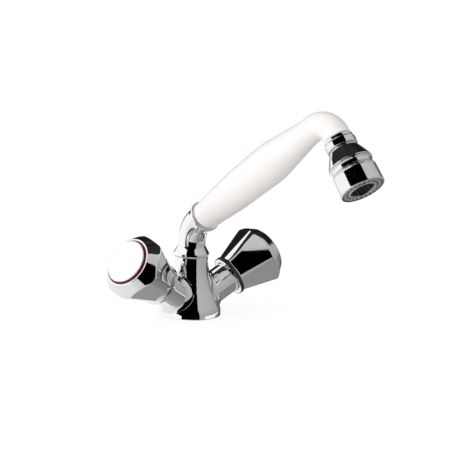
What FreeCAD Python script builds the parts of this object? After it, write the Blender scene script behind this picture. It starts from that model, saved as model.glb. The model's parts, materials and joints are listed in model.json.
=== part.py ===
import FreeCAD, Part
import math
import os
import Sketcher

# Two-knob pillar tap with a swivelling elbow and a pull-out spray handset.
# Millimetres, +Z up, origin at the centre of the base. The spout points along -Y,
# the hot knob stands on the -X side and the cold knob on the +X side.

SIZES = {
    "pillar": {
        "base_radius": 25.0,
        "foot_height": 3.2,
        "foot_edge_radius": 0.8,
        "foot_step": 0.9,
        "waist_radius": 14.3,
        "waist_height": 31.4,
        "waist_curve_radius": 100.0,
        "pillar_top_radius": 13.1,
        "pillar_height": 46.3,
        "pillar_top_edge_radius": 0.5,
        "hose_passage_radius": 8.0,
        "port_circle_radius": 16.0,
        "inlet_thread_radius": 4.5,
        "inlet_depth": 17.0,
        "outlet_depth": 15.0,
        "stud_thread_radius": 3.4,
        "stud_hole_depth": 14.0,
        "base_seal_inner_radius": 21.6,
        "base_seal_outer_radius": 23.6,
        "base_seal_thickness": 1.6,
    },
    "swivel": {
        "spigot_radius": 9.5,
        "spigot_wall": 2.0,
        "spigot_socket_depth": 12.3,
        "spigot_height": 9.4,
        "spout_seal_width": 1.8,
        "spout_seal_depth": 1.0,
        "spout_seal_setback": 1.4,
        "slide_ring_thickness": 0.6,
        "slide_ring_setback": 0.5,
        "stop_groove_depth": 1.0,
        "stop_screw_height": 3.2,
        "stop_screw_radius": 2.0,
        "stop_tip_radius": 1.3,
        "stop_screw_setback": 0.8,
        "stop_socket_radius": 1.1,
        "stop_socket_depth": 1.6,
        "swing_half_angle": 70.0,
        "stop_tip_angle": 20.0,
    },
    "elbow": {
        "collar_radius": 14.1,
        "collar_land": 1.9,
        "collar_edge_radius": 0.4,
        "collar_cone_height": 5.4,
        "collar_curve_radius": 6.0,
        "elbow_radius": 11.0,
        "elbow_bore_radius": 8.2,
        "elbow_bend_radius": 22.0,
        "elbow_rise": 22.4,
        "handle_angle": 33.6,
        "cup_reach": 19.7,
        "cup_rim_radius": 12.5,
        "cup_rim_land": 2.0,
        "cup_rim_edge_radius": 0.8,
        "cup_flare_length": 4.6,
        "cup_flare_radius": 4.0,
        "dock_depth": 5.0,
        "dock_liner_radius": 10.7,
        "dock_gap": 0.4,
    },
    "valve arms": {
        "arm_tilt": 31.0,
        "arm_sweep": 9.5,
        "arm_height": 6.9,
        "neck_radius": 12.7,
        "neck_end": 45.6,
        "neck_root": 9.0,
        "neck_edge_radius": 0.6,
        "neck_bore_radius": 10.5,
        "neck_bore_depth": 12.0,
        "chamber_radius": 9.0,
        "seat_distance": 22.0,
        "seat_port_radius": 4.0,
        "seat_port_length": 6.0,
        "seat_seal_thickness": 2.4,
        "seat_seal_wall": 2.8,
        "neck_washer_thickness": 1.0,
    },
    "headworks": {
        "cage_bore_radius": 7.5,
        "cage_lip": 0.5,
        "disc_radius": 7.2,
        "fixed_disc_thickness": 3.0,
        "moving_disc_thickness": 2.7,
        "disc_port_radius": 2.0,
        "disc_port_offset": 3.9,
        "cage_window_width": 7.0,
        "cage_window_height": 3.4,
        "flange_corner_radius": 12.0,
        "flange_height": 4.0,
        "headwork_stem_radius": 7.0,
        "headwork_stem_length": 6.5,
        "spindle_radius": 4.5,
        "spindle_plate_thickness": 1.0,
        "tongue_width": 3.0,
        "tongue_depth": 0.8,
        "spindle_seal_depth": 1.0,
        "spindle_seal_width": 1.8,
        "spindle_seal_setback": 3.0,
        "spindle_seal_pitch": 4.2,
        "clip_thickness": 0.8,
        "clip_groove_depth": 0.8,
        "clip_overhang": 1.4,
        "clip_opening": 5.0,
        "spline_radius": 3.9,
        "spline_length": 9.0,
        "screw_shank_radius": 2.0,
        "screw_shank_length": 11.0,
        "screw_head_radius": 4.2,
        "screw_head_height": 3.0,
        "screw_socket_radius": 1.7,
        "screw_socket_depth": 1.8,
    },
    "knobs": {
        "skirt_overlap": 5.6,
        "skirt_gap": 0.5,
        "lip_radius": 16.8,
        "lip_height": 3.4,
        "lip_edge_radius": 1.5,
        "knob_root_radius": 15.9,
        "knob_length": 41.4,
        "shoulder_distance": 32.6,
        "shoulder_radius": 25.6,
        "shoulder_edge_radius": 1.0,
        "flat_root_apothem": 15.1,
        "flat_shoulder_apothem": 23.4,
        "knob_rest_turn": -16.0,
        "face_radius": 18.9,
        "face_edge_radius": 0.8,
        "knob_wall": 3.4,
        "face_wall": 3.2,
        "hub_radius": 7.5,
        "hub_clearance": 1.8,
        "hub_web": 3.5,
        "screw_well_radius": 5.0,
        "cap_recess_radius": 17.6,
        "cap_recess_depth": 1.2,
        "index_ring_width": 1.2,
        "index_ring_rise": 1.0,
        "cap_thickness": 3.6,
        "cap_edge_radius": 0.6,
        "cap_plug_radius": 4.8,
        "cap_plug_length": 2.0,
    },
    "handle": {
        "grip_length": 148.6,
        "grip_foot_radius": 11.2,
        "grip_foot_edge_radius": 0.7,
        "grip_lower_radius": 14.0,
        "grip_lower_share": 0.315,
        "grip_lower_curve_share": 1.5,
        "grip_swell_radius": 14.8,
        "grip_swell_share": 0.645,
        "grip_swell_curve_share": 0.675,
        "grip_neck_radius": 9.2,
        "grip_neck_share": 0.952,
        "grip_neck_curve_share": 0.45,
        "grip_bend_radius": 16.5,
        "grip_wall": 2.5,
        "tube_radius": 6.0,
        "tube_wall": 1.4,
        "connector_radius": 8.9,
        "connector_length": 22.0,
        "connector_socket_depth": 10.0,
        "dock_plug_radius": 9.6,
        "dock_plug_tip_radius": 8.4,
        "dock_plug_length": 4.2,
        "hose_thread_radius": 7.4,
        "hose_thread_length": 4.8,
    },
    "spray head": {
        "head_angle": 38.3,
        "neck_end_distance": 17.4,
        "head_spigot_radius": 7.6,
        "head_spigot_length": 17.2,
        "tube_socket_depth": 7.0,
        "neck_ring_radius": 10.0,
        "neck_ring_height": 2.4,
        "trim_edge_radius": 0.6,
        "nut_radius": 10.7,
        "nut_height": 5.0,
        "head_seal_depth": 1.2,
        "head_seal_width": 2.0,
        "head_seal_setback": 5.0,
        "head_clip_thickness": 0.9,
        "head_clip_overhang": 1.6,
        "head_clip_groove_depth": 0.9,
        "head_clip_opening": 8.0,
        "cone_top_radius": 9.3,
        "cone_waist_radius": 13.4,
        "cone_waist_distance": 6.4,
        "cone_curve_radius": 20.0,
        "cone_height": 11.9,
        "cone_land": 0.6,
        "cone_edge_radius": 0.5,
        "shoulder_ring_radius": 15.4,
        "head_collar_length": 6.8,
        "head_cavity_radius": 12.0,
        "skirt_radius": 13.6,
        "skirt_length": 6.4,
        "snap_ring_thickness": 1.2,
        "snap_ring_depth": 0.7,
        "snap_ring_setback": 4.0,
        "barrel_length": 19.2,
        "barrel_end_radius": 15.4,
        "barrel_end_edge_radius": 1.1,
        "barrel_bead_height": 1.9,
        "barrel_bead_rise": 0.35,
        "barrel_shoulder_height": 1.2,
        "face_recess": 0.6,
        "spray_ring_skirt": 5.2,
        "spray_ring_thickness": 2.7,
        "spray_ring_wall": 1.2,
        "nozzle_circle_radius": 12.2,
        "nozzle_radius": 0.55,
        "aerator_ring_radius": 9.9,
        "aerator_ring_wall": 1.6,
        "aerator_ring_height": 7.0,
        "aerator_insert_height": 3.7,
        "aerator_insert_setback": 0.8,
        "aerator_hole_radius": 0.95,
        "aerator_hole_pitch": 2.9,
        "aerator_screen_thickness": 0.6,
        "diverter_disc_thickness": 3.0,
        "diverter_port_radius": 1.8,
        "diverter_port_circle_radius": 9.0,
        "diverter_centre_port_radius": 3.0,
    },
    "clearances": {
        "running_gap": 0.05,
        "seat_gap": 0.1,
        "free_gap": 0.3,
        "overrun": 2.0,
    },
}

KNOB_FLAT_COUNT = 6
NOZZLE_COUNT = 24
DIVERTER_PORT_COUNT = 6
AERATOR_RING_COUNT = 2


class Size:
    """A value together with the sheet expression that it comes from."""

    def __init__(self, value, text):
        self.value = value
        self.text = text

    def __add__(self, other):
        return Size(self.value + other.value, f"({self.text} + {other.text})")

    def __sub__(self, other):
        return Size(self.value - other.value, f"({self.text} - {other.text})")

    def __neg__(self):
        return Size(-self.value, f"(0 - {self.text})")

    def __mul__(self, factor):
        if isinstance(factor, Size):
            return Size(self.value * factor.value, f"({self.text} * {factor.text})")
        return Size(self.value * factor, f"({self.text} * {factor})")

    def __truediv__(self, factor):
        if isinstance(factor, Size):
            return Size(self.value / factor.value, f"({self.text} / {factor.text})")
        return Size(self.value / factor, f"({self.text} / {factor})")


def sine(angle):
    return Size(math.sin(math.radians(angle.value)), f"sin({angle.text})")


def cosine(angle):
    return Size(math.cos(math.radians(angle.value)), f"cos({angle.text})")


def tangent(angle):
    return Size(math.tan(math.radians(angle.value)), f"tan({angle.text})")


class SizeSheet:
    """The document's sheet of driving sizes, one aliased cell for each."""

    def __init__(self, document, groups):
        self.sheet = document.addObject("Spreadsheet::Sheet", "Sizes")
        self.known = {}
        row = 1
        for group, sizes in groups.items():
            self.sheet.set(f"A{row}", group)
            row += 1
            for name, value in sizes.items():
                self.sheet.set(f"A{row}", name)
                self.sheet.set(f"B{row}", str(value))
                self.sheet.setAlias(f"B{row}", name)
                self.known[name] = value
                row += 1

    def __getattr__(self, name):
        return Size(self.known[name], f"Sizes.{name}")


doc = FreeCAD.newDocument("mixer_tap")
S = SizeSheet(doc, SIZES)
doc.recompute()
NIL = Size(0.0, "0")
UPRIGHT = Size(90.0, "90")
GRIP_TURN = UPRIGHT + S.handle_angle - S.head_angle


# Frames: one for each axis that pieces are turned about.

def frame(origin, along, across):
    """Placement with local Z along the first direction and local X along the second."""
    z_axis = FreeCAD.Vector(*along)
    x_axis = FreeCAD.Vector(*across)
    y_axis = z_axis.cross(x_axis)
    turn = FreeCAD.Rotation(x_axis, y_axis, z_axis, "ZXY")
    return FreeCAD.Placement(FreeCAD.Vector(*origin), turn)


def arm_frame(side):
    """Valve arm: local Z runs out along the arm from the pillar's axis, local X is its upper side."""
    tilt = math.radians(S.arm_tilt.value)
    sweep = math.radians(S.arm_sweep.value)
    out = (side * math.cos(sweep), -math.sin(sweep))
    along = (out[0] * math.cos(tilt), out[1] * math.cos(tilt), math.sin(tilt))
    upper = (-out[0] * math.sin(tilt), -out[1] * math.sin(tilt), math.cos(tilt))
    return frame((0, 0, S.arm_height.value), along, upper)


COLLAR_FOOT = S.pillar_height + S.slide_ring_thickness + S.seat_gap
BEND_HEIGHT = COLLAR_FOOT + S.elbow_rise


def handle_frame(distance):
    """Handle axis, at a distance from where it crosses the pillar's axis: local X faces the spray side."""
    angle = math.radians(S.handle_angle.value)
    along = (0, -math.cos(angle), math.sin(angle))
    spray_side = (0, -math.sin(angle), -math.cos(angle))
    origin = (0, along[1] * distance.value, BEND_HEIGHT.value + along[2] * distance.value)
    return frame(origin, along, spray_side)


def head_frame():
    """Spray head axis, from where it crosses the handle's axis, out towards the spray."""
    corner = handle_frame(S.cup_reach + S.grip_length)
    turn = math.radians(GRIP_TURN.value)
    along = corner.Rotation.multVec(FreeCAD.Vector(math.sin(turn), 0, math.cos(turn)))
    across = corner.Rotation.multVec(FreeCAD.Vector(math.cos(turn), 0, -math.sin(turn)))
    return frame(corner.Base, along, across)


PILLAR = FreeCAD.Placement()
GRIP = handle_frame(S.cup_reach)
HEAD = head_frame()
ARMS = {"hot": arm_frame(-1), "cold": arm_frame(1)}


# Ways of making a solid.

def plane_of(body, role):
    return next(item for item in body.Origin.OriginFeatures if item.Role == role)


def draw_outline(sketch, corners):
    """Closed outline through the corners; a corner with a third size is rounded by a tangent arc."""
    count = len(corners)
    spots = [FreeCAD.Vector(corner[0].value, corner[1].value, 0) for corner in corners]
    enters, leaves, arcs = [], [], {}
    for index, corner in enumerate(corners):
        spot = spots[index]
        enters.append(spot)
        leaves.append(spot)
        if len(corner) < 3:
            continue
        back = (spots[index - 1] - spot).normalize()
        ahead = (spots[(index + 1) % count] - spot).normalize()
        half = back.getAngle(ahead) / 2
        reach = corner[2].value / math.tan(half)
        enters[index] = spot + back * reach
        leaves[index] = spot + ahead * reach
        middle = (back + ahead).normalize()
        centre = spot + middle * (corner[2].value / math.sin(half))
        left_turn = back.cross(ahead).z < 0
        first, last = (enters[index], leaves[index]) if left_turn else (leaves[index], enters[index])
        start = math.atan2(first.y - centre.y, first.x - centre.x)
        end = math.atan2(last.y - centre.y, last.x - centre.x)
        circle = Part.Circle(centre, FreeCAD.Vector(0, 0, 1), corner[2].value)
        arcs[index] = (Part.ArcOfCircle(circle, start, end), left_turn)
    lines = [Part.LineSegment(leaves[i], enters[(i + 1) % count]) for i in range(count)]
    sketch.addGeometry(lines, False)
    bound = []

    def bind(constraint, size):
        bound.append((sketch.addConstraint(constraint), size))

    def locate(item, end, corner):
        for axis, name, size in ((-2, "DistanceX", corner[0]), (-1, "DistanceY", corner[1])):
            if size is NIL:
                sketch.addConstraint(Sketcher.Constraint("PointOnObject", item, end, axis))
            else:
                bind(Sketcher.Constraint(name, -1, 1, item, end, size.value), size)

    for index, corner in enumerate(corners):
        line_in = (index - 1) % count
        if index not in arcs:
            sketch.addConstraint(Sketcher.Constraint("Coincident", line_in, 2, index, 1))
            locate(index, 1, corner)
            continue
        arc_shape, left_turn = arcs[index]
        arc = sketch.addGeometry(arc_shape, False)
        point = sketch.addGeometry(Part.Point(spots[index]), True)
        enter_end, leave_end = (1, 2) if left_turn else (2, 1)
        sketch.addConstraint(Sketcher.Constraint("Tangent", line_in, 2, arc, enter_end))
        sketch.addConstraint(Sketcher.Constraint("Tangent", arc, leave_end, index, 1))
        sketch.addConstraint(Sketcher.Constraint("PointOnObject", point, 1, line_in))
        sketch.addConstraint(Sketcher.Constraint("PointOnObject", point, 1, index))
        locate(point, 1, corner)
        bind(Sketcher.Constraint("Radius", arc, corner[2].value), corner[2])
    for number, size in bound:
        sketch.setExpression(f"Constraints[{number}]", size.text)


def sketch_on(body, name, role, corners):
    sketch = body.newObject("Sketcher::SketchObject", name)
    sketch.AttachmentSupport = (plane_of(body, role), [""])
    sketch.MapMode = "FlatFace"
    draw_outline(sketch, corners)
    return sketch


def turned(label, place, corners):
    """Solid of revolution about local Z, from an outline of (radius, height) corners."""
    body = doc.addObject("PartDesign::Body", label)
    body.Label = label
    sketch = sketch_on(body, label + "_outline", "XZ_Plane", corners)
    turn = body.newObject("PartDesign::Revolution", label + "_turn")
    turn.Profile = sketch
    turn.ReferenceAxis = (sketch, ["V_Axis"])
    turn.Angle = 360
    body.Tip = turn
    body.Placement = place
    doc.recompute()
    return body


def ring(label, place, inner, outer, start, end, edge=None):
    """Turned ring of rectangular section; an edge size rounds its two outer corners."""
    rounding = () if edge is None else (edge,)
    corners = [(inner, start), (outer, start, *rounding), (outer, end, *rounding), (inner, end)]
    return turned(label, place, corners)


def at(place, x=NIL, y=NIL, z=NIL):
    """The same frame, moved along its own axes."""
    return place * FreeCAD.Placement(FreeCAD.Vector(x.value, y.value, z.value), FreeCAD.Rotation())


def sized(kind, label, place, **sizes):
    """Primitive solid whose sizes follow the sheet."""
    item = doc.addObject(kind, label)
    item.Label = label
    for name, size in sizes.items():
        item.setExpression(name, size.text)
    item.Placement = place
    return item


def rod(label, place, radius, start, end):
    return sized("Part::Cylinder", label, at(place, z=start), Radius=radius, Height=end - start)


def hexagon(label, place, corner_radius, start, end):
    item = sized("Part::Prism", label, at(place, z=start), Circumradius=corner_radius, Height=end - start)
    item.Polygon = 6
    return item


def block(label, place, length, width, start, end):
    """Box centred on local Z."""
    corner = at(place, -(length / 2), -(width / 2), start)
    return sized("Part::Box", label, corner, Length=length, Width=width, Height=end - start)


def bend(label, place, bend_radius, tube_radius, angle):
    """Curved tube that leaves along local Z and turns towards local X."""
    centre = at(place, x=bend_radius)
    turn = FreeCAD.Rotation(FreeCAD.Vector(-1, 0, 0), FreeCAD.Vector(0, 0, 1),
                            FreeCAD.Vector(0, 1, 0), "ZXY")
    spin = centre * FreeCAD.Placement(FreeCAD.Vector(), turn)
    return sized("Part::Torus", label, spin, Radius1=bend_radius, Radius2=tube_radius, Angle3=angle)


def joined(label, *shapes):
    item = doc.addObject("Part::MultiFuse", label)
    item.Label = label
    item.Shapes = list(shapes)
    item.Refine = True
    doc.recompute()
    return item


def cut(label, solid, *tools):
    item = doc.addObject("Part::Cut", label)
    item.Label = label
    item.Base = solid
    item.Tool = tools[0] if len(tools) == 1 else joined(label + "_cuts", *tools)
    item.Refine = True
    doc.recompute()
    return item


NODES = []


def node(item):
    NODES.append(item)
    return item


# Pillar body: one hollow casting with a flared foot and two valve necks.

def port_place(side_x, side_y):
    """Underside port on the port circle, local Z up."""
    reach = S.port_circle_radius.value
    return FreeCAD.Placement(FreeCAD.Vector(side_x * reach, side_y * reach, 0), FreeCAD.Rotation())


def pillar_body():
    spigot_bore = S.spigot_radius + S.seat_gap
    socket_floor = S.pillar_height - S.spigot_socket_depth
    pillar = turned("pillar_blank", PILLAR, [
        (S.hose_passage_radius, NIL),
        (S.base_radius, NIL, S.foot_edge_radius),
        (S.base_radius, S.foot_height, S.foot_edge_radius),
        (S.base_radius - S.foot_step, S.foot_height + S.foot_step),
        (S.waist_radius, S.waist_height, S.waist_curve_radius),
        (S.pillar_top_radius, S.pillar_height, S.pillar_top_edge_radius),
        (spigot_bore, S.pillar_height),
        (spigot_bore, socket_floor),
        (S.hose_passage_radius, socket_floor),
    ])
    necks, bores = [], []
    bore_floor = S.neck_end - S.neck_bore_depth
    sweep = math.radians(S.arm_sweep.value)
    for name, side in (("hot", -1), ("cold", 1)):
        arm = ARMS[name]
        necks.append(turned(f"{name}_neck", arm, [
            (NIL, S.neck_root),
            (S.neck_radius, S.neck_root),
            (S.neck_radius, S.neck_end, S.neck_edge_radius),
            (NIL, S.neck_end),
        ]))
        bores.append(turned(f"{name}_valve_bore", arm, [
            (NIL, S.seat_distance - S.seat_port_length),
            (S.seat_port_radius, S.seat_distance - S.seat_port_length),
            (S.seat_port_radius, S.seat_distance),
            (S.chamber_radius, S.seat_distance),
            (S.chamber_radius, bore_floor),
            (S.neck_bore_radius, bore_floor),
            (S.neck_bore_radius, S.neck_end + S.overrun),
            (NIL, S.neck_end + S.overrun),
        ]))
        inlet = port_place(side * math.cos(sweep), -math.sin(sweep))
        bores.append(rod(f"{name}_inlet", inlet, S.inlet_thread_radius, -S.overrun, S.inlet_depth))
    outlet = rod("outlet", port_place(0, -1), S.inlet_thread_radius, -S.overrun, S.outlet_depth)
    stud = rod("stud_hole", port_place(0, 1), S.stud_thread_radius, -S.overrun, S.stud_hole_depth)
    seal_groove = ring("seal_groove", PILLAR, S.base_seal_inner_radius - S.seat_gap,
                       S.base_seal_outer_radius + S.seat_gap, -S.overrun, S.base_seal_thickness)
    passage = rod("passage", PILLAR, S.hose_passage_radius, NIL, S.pillar_height)
    solid = joined("pillar_solid", pillar, *necks)
    node(cut("body_casting", solid, passage, outlet, stud, seal_groove, *bores))
    node(ring("base_seal", PILLAR, S.base_seal_inner_radius, S.base_seal_outer_radius,
              NIL, S.base_seal_thickness))


# Swivel: a brass spigot stands in the pillar and the elbow turns on it.

SPIGOT_TOP = S.pillar_height + S.spigot_height
STOP_HEIGHT = COLLAR_FOOT + S.stop_screw_height


def swivel_spigot():
    bore = S.spigot_radius - S.spigot_wall
    seal_top = SPIGOT_TOP - S.spout_seal_setback
    seal_foot = seal_top - S.spout_seal_width
    seal_floor = S.spigot_radius - S.spout_seal_depth
    foot = S.pillar_height - S.spigot_socket_depth
    tube = turned("spigot_tube", PILLAR, [
        (bore, foot),
        (S.spigot_radius, foot),
        (S.spigot_radius, seal_foot),
        (seal_floor, seal_foot),
        (seal_floor, seal_top),
        (S.spigot_radius, seal_top),
        (S.spigot_radius, SPIGOT_TOP),
        (bore, SPIGOT_TOP),
    ])
    half_width = S.stop_tip_radius + S.free_gap
    floor = S.spigot_radius - S.stop_groove_depth
    track = doc.addObject("PartDesign::Body", "stop_track")
    outline = sketch_on(track, "stop_track_outline", "YZ_Plane", [
        (floor, STOP_HEIGHT - half_width),
        (S.spigot_radius + S.overrun, STOP_HEIGHT - half_width),
        (S.spigot_radius + S.overrun, STOP_HEIGHT + half_width),
        (floor, STOP_HEIGHT + half_width),
    ])
    sweep = track.newObject("PartDesign::Revolution", "stop_track_sweep")
    sweep.Profile = outline
    sweep.ReferenceAxis = (outline, ["V_Axis"])
    sweep.Midplane = True
    sweep.setExpression("Angle", (S.swing_half_angle * 2 + S.stop_tip_angle).text)
    track.Tip = sweep
    doc.recompute()
    node(cut("swivel_spigot", tube, track))
    node(ring("spout_seal", PILLAR, seal_floor, S.spigot_radius, seal_foot + S.seat_gap,
              seal_top - S.seat_gap))
    node(ring("slide_ring", PILLAR, S.spigot_radius + S.seat_gap,
              S.pillar_top_radius - S.slide_ring_setback, S.pillar_height,
              S.pillar_height + S.slide_ring_thickness))


# Elbow: a cast tube with a flared collar below and a docking cup for the handset.

BEND_TURN = UPRIGHT - S.handle_angle
BEND_REACH = S.elbow_bend_radius * tangent(BEND_TURN / 2)
BEND_FOOT = BEND_HEIGHT - BEND_REACH
CUP_FOOT = BEND_REACH - S.cup_reach
CUP_RIM = -S.dock_gap


def swivel_elbow():
    collar_top = COLLAR_FOOT + S.collar_land
    foot = turned("elbow_foot", PILLAR, [
        (NIL, COLLAR_FOOT),
        (S.collar_radius, COLLAR_FOOT, S.collar_edge_radius),
        (S.collar_radius, collar_top, S.collar_edge_radius),
        (S.elbow_radius, collar_top + S.collar_cone_height, S.collar_curve_radius),
        (S.elbow_radius, BEND_FOOT),
        (NIL, BEND_FOOT),
    ])
    forward = frame((0, 0, BEND_FOOT.value), (0, 0, 1), (0, -1, 0))
    outer_bend = bend("elbow_bend", forward, S.elbow_bend_radius, S.elbow_radius, BEND_TURN)
    rim_foot = CUP_RIM - S.cup_rim_land
    cup = turned("elbow_cup", GRIP, [
        (NIL, CUP_FOOT),
        (S.elbow_radius, CUP_FOOT),
        (S.elbow_radius, rim_foot - S.cup_flare_length, S.cup_flare_radius),
        (S.cup_rim_radius, rim_foot, S.cup_rim_edge_radius),
        (S.cup_rim_radius, CUP_RIM, S.cup_rim_edge_radius),
        (NIL, CUP_RIM),
    ])
    bore_radius = S.spigot_radius + S.running_gap
    bore_top = SPIGOT_TOP + S.free_gap
    foot_bore = turned("elbow_foot_bore", PILLAR, [
        (NIL, COLLAR_FOOT - S.overrun),
        (bore_radius, COLLAR_FOOT - S.overrun),
        (bore_radius, bore_top),
        (S.elbow_bore_radius, bore_top),
        (S.elbow_bore_radius, BEND_FOOT),
        (NIL, BEND_FOOT),
    ])
    inner_bend = bend("elbow_bend_bore", forward, S.elbow_bend_radius, S.elbow_bore_radius, BEND_TURN)
    dock_floor = CUP_RIM - S.dock_depth
    cup_bore = turned("elbow_cup_bore", GRIP, [
        (NIL, CUP_FOOT),
        (S.elbow_bore_radius, CUP_FOOT),
        (S.elbow_bore_radius, dock_floor),
        (S.dock_liner_radius + S.seat_gap, dock_floor),
        (S.dock_liner_radius + S.seat_gap, CUP_RIM + S.overrun),
        (NIL, CUP_RIM + S.overrun),
    ])
    backward = frame((0, 0, STOP_HEIGHT.value), (0, 1, 0), (0, 0, 1))
    screw_hole = rod("stop_screw_hole", backward, S.stop_screw_radius + S.running_gap,
                     S.elbow_bore_radius, S.collar_radius + S.overrun)
    solid = joined("elbow_solid", foot, outer_bend, cup)
    node(cut("swivel_elbow", solid, foot_bore, inner_bend, cup_bore, screw_hole))
    plug_gap = S.free_gap
    liner_step = -S.dock_plug_length - plug_gap / 2
    node(turned("dock_liner", GRIP, [
        (S.hose_thread_radius + plug_gap, dock_floor),
        (S.dock_liner_radius, dock_floor),
        (S.dock_liner_radius, CUP_RIM),
        (S.dock_plug_radius + plug_gap, CUP_RIM),
        (S.dock_plug_tip_radius + plug_gap, liner_step),
        (S.hose_thread_radius + plug_gap, liner_step),
    ]))
    tip_end = S.spigot_radius - S.stop_groove_depth + S.free_gap
    head_end = S.elbow_radius + S.stop_screw_setback
    blank = turned("stop_screw_blank", backward, [
        (NIL, tip_end),
        (S.stop_tip_radius, tip_end),
        (S.stop_tip_radius, S.spigot_radius + S.free_gap),
        (S.stop_screw_radius, S.spigot_radius + S.free_gap),
        (S.stop_screw_radius, head_end),
        (NIL, head_end),
    ])
    socket = hexagon("stop_screw_socket", backward, S.stop_socket_radius,
                     head_end - S.stop_socket_depth, head_end + S.overrun)
    node(cut("swivel_stop_screw", blank, socket))


# Headworks: a half-turn disc valve screwed into each neck.

FIXED_DISC = S.seat_distance + S.seat_seal_thickness
MOVING_DISC = FIXED_DISC + S.fixed_disc_thickness + S.running_gap
SPINDLE_FOOT = MOVING_DISC + S.moving_disc_thickness
CAGE_CEILING = SPINDLE_FOOT + S.spindle_plate_thickness + S.seat_gap
FLANGE_FOOT = S.neck_end + S.neck_washer_thickness
FLANGE_TOP = FLANGE_FOOT + S.flange_height
STEM_TOP = FLANGE_TOP + S.headwork_stem_length
CLIP_FOOT = STEM_TOP + S.seat_gap
CLIP_TOP = CLIP_FOOT + S.clip_thickness
HUB_FOOT = CLIP_TOP + S.hub_clearance
SPLINE_TOP = HUB_FOOT + S.spline_length
SCREW_SEAT = SPLINE_TOP + S.free_gap + S.hub_web


def disc_ports(label, arm, start, end):
    """Pair of water ports through a ceramic disc."""
    return [
        rod(f"{label}_port_{side}", at(arm, y=S.disc_port_offset * side), S.disc_port_radius,
            start - S.overrun, end + S.overrun)
        for side in (-1, 1)
    ]


def split_ring(label, place, inner, outer, start, end, opening):
    """Spring clip: a ring with a gap on the side of local X."""
    blank = ring(label + "_blank", place, inner, outer, start, end)
    gap_place = at(place, x=outer)
    gap = block(label + "_gap", gap_place, outer * 2, opening, start - S.overrun, end + S.overrun)
    return cut(label, blank, gap)


def headwork(side, arm):
    cage_foot = FIXED_DISC - S.cage_lip
    barrel_foot = S.neck_end - S.neck_bore_depth + S.free_gap
    barrel_radius = S.neck_bore_radius - S.seat_gap
    blank = turned(f"{side}_headwork_blank", arm, [
        (NIL, cage_foot),
        (S.chamber_radius - S.free_gap, cage_foot),
        (S.chamber_radius - S.free_gap, barrel_foot),
        (barrel_radius, barrel_foot),
        (barrel_radius, FLANGE_FOOT),
        (S.headwork_stem_radius, FLANGE_TOP),
        (S.headwork_stem_radius, STEM_TOP),
        (NIL, STEM_TOP),
    ])
    flange = hexagon(f"{side}_flange", arm, S.flange_corner_radius, FLANGE_FOOT, FLANGE_TOP)
    bore = turned(f"{side}_headwork_bore", arm, [
        (NIL, cage_foot - S.overrun),
        (S.cage_bore_radius, cage_foot - S.overrun),
        (S.cage_bore_radius, CAGE_CEILING),
        (S.spindle_radius + S.running_gap, CAGE_CEILING),
        (S.spindle_radius + S.running_gap, STEM_TOP + S.overrun),
        (NIL, STEM_TOP + S.overrun),
    ])
    window = block(f"{side}_cage_window", arm, S.chamber_radius * 2, S.cage_window_width,
                   MOVING_DISC, MOVING_DISC + S.cage_window_height)
    node(cut(f"{side}_headwork", joined(f"{side}_headwork_solid", blank, flange), bore, window))
    node(ring(f"{side}_neck_washer", arm, S.neck_bore_radius, S.neck_radius - S.neck_edge_radius,
              S.neck_end, FLANGE_FOOT))
    node(ring(f"{side}_seat_seal", arm, S.disc_radius - S.seat_seal_wall, S.disc_radius,
              S.seat_distance, FIXED_DISC))
    disc_top = FIXED_DISC + S.fixed_disc_thickness
    disc = rod(f"{side}_fixed_disc_blank", arm, S.disc_radius, FIXED_DISC, disc_top)
    node(cut(f"{side}_fixed_disc", disc, *disc_ports(f"{side}_fixed", arm, FIXED_DISC, disc_top)))


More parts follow.
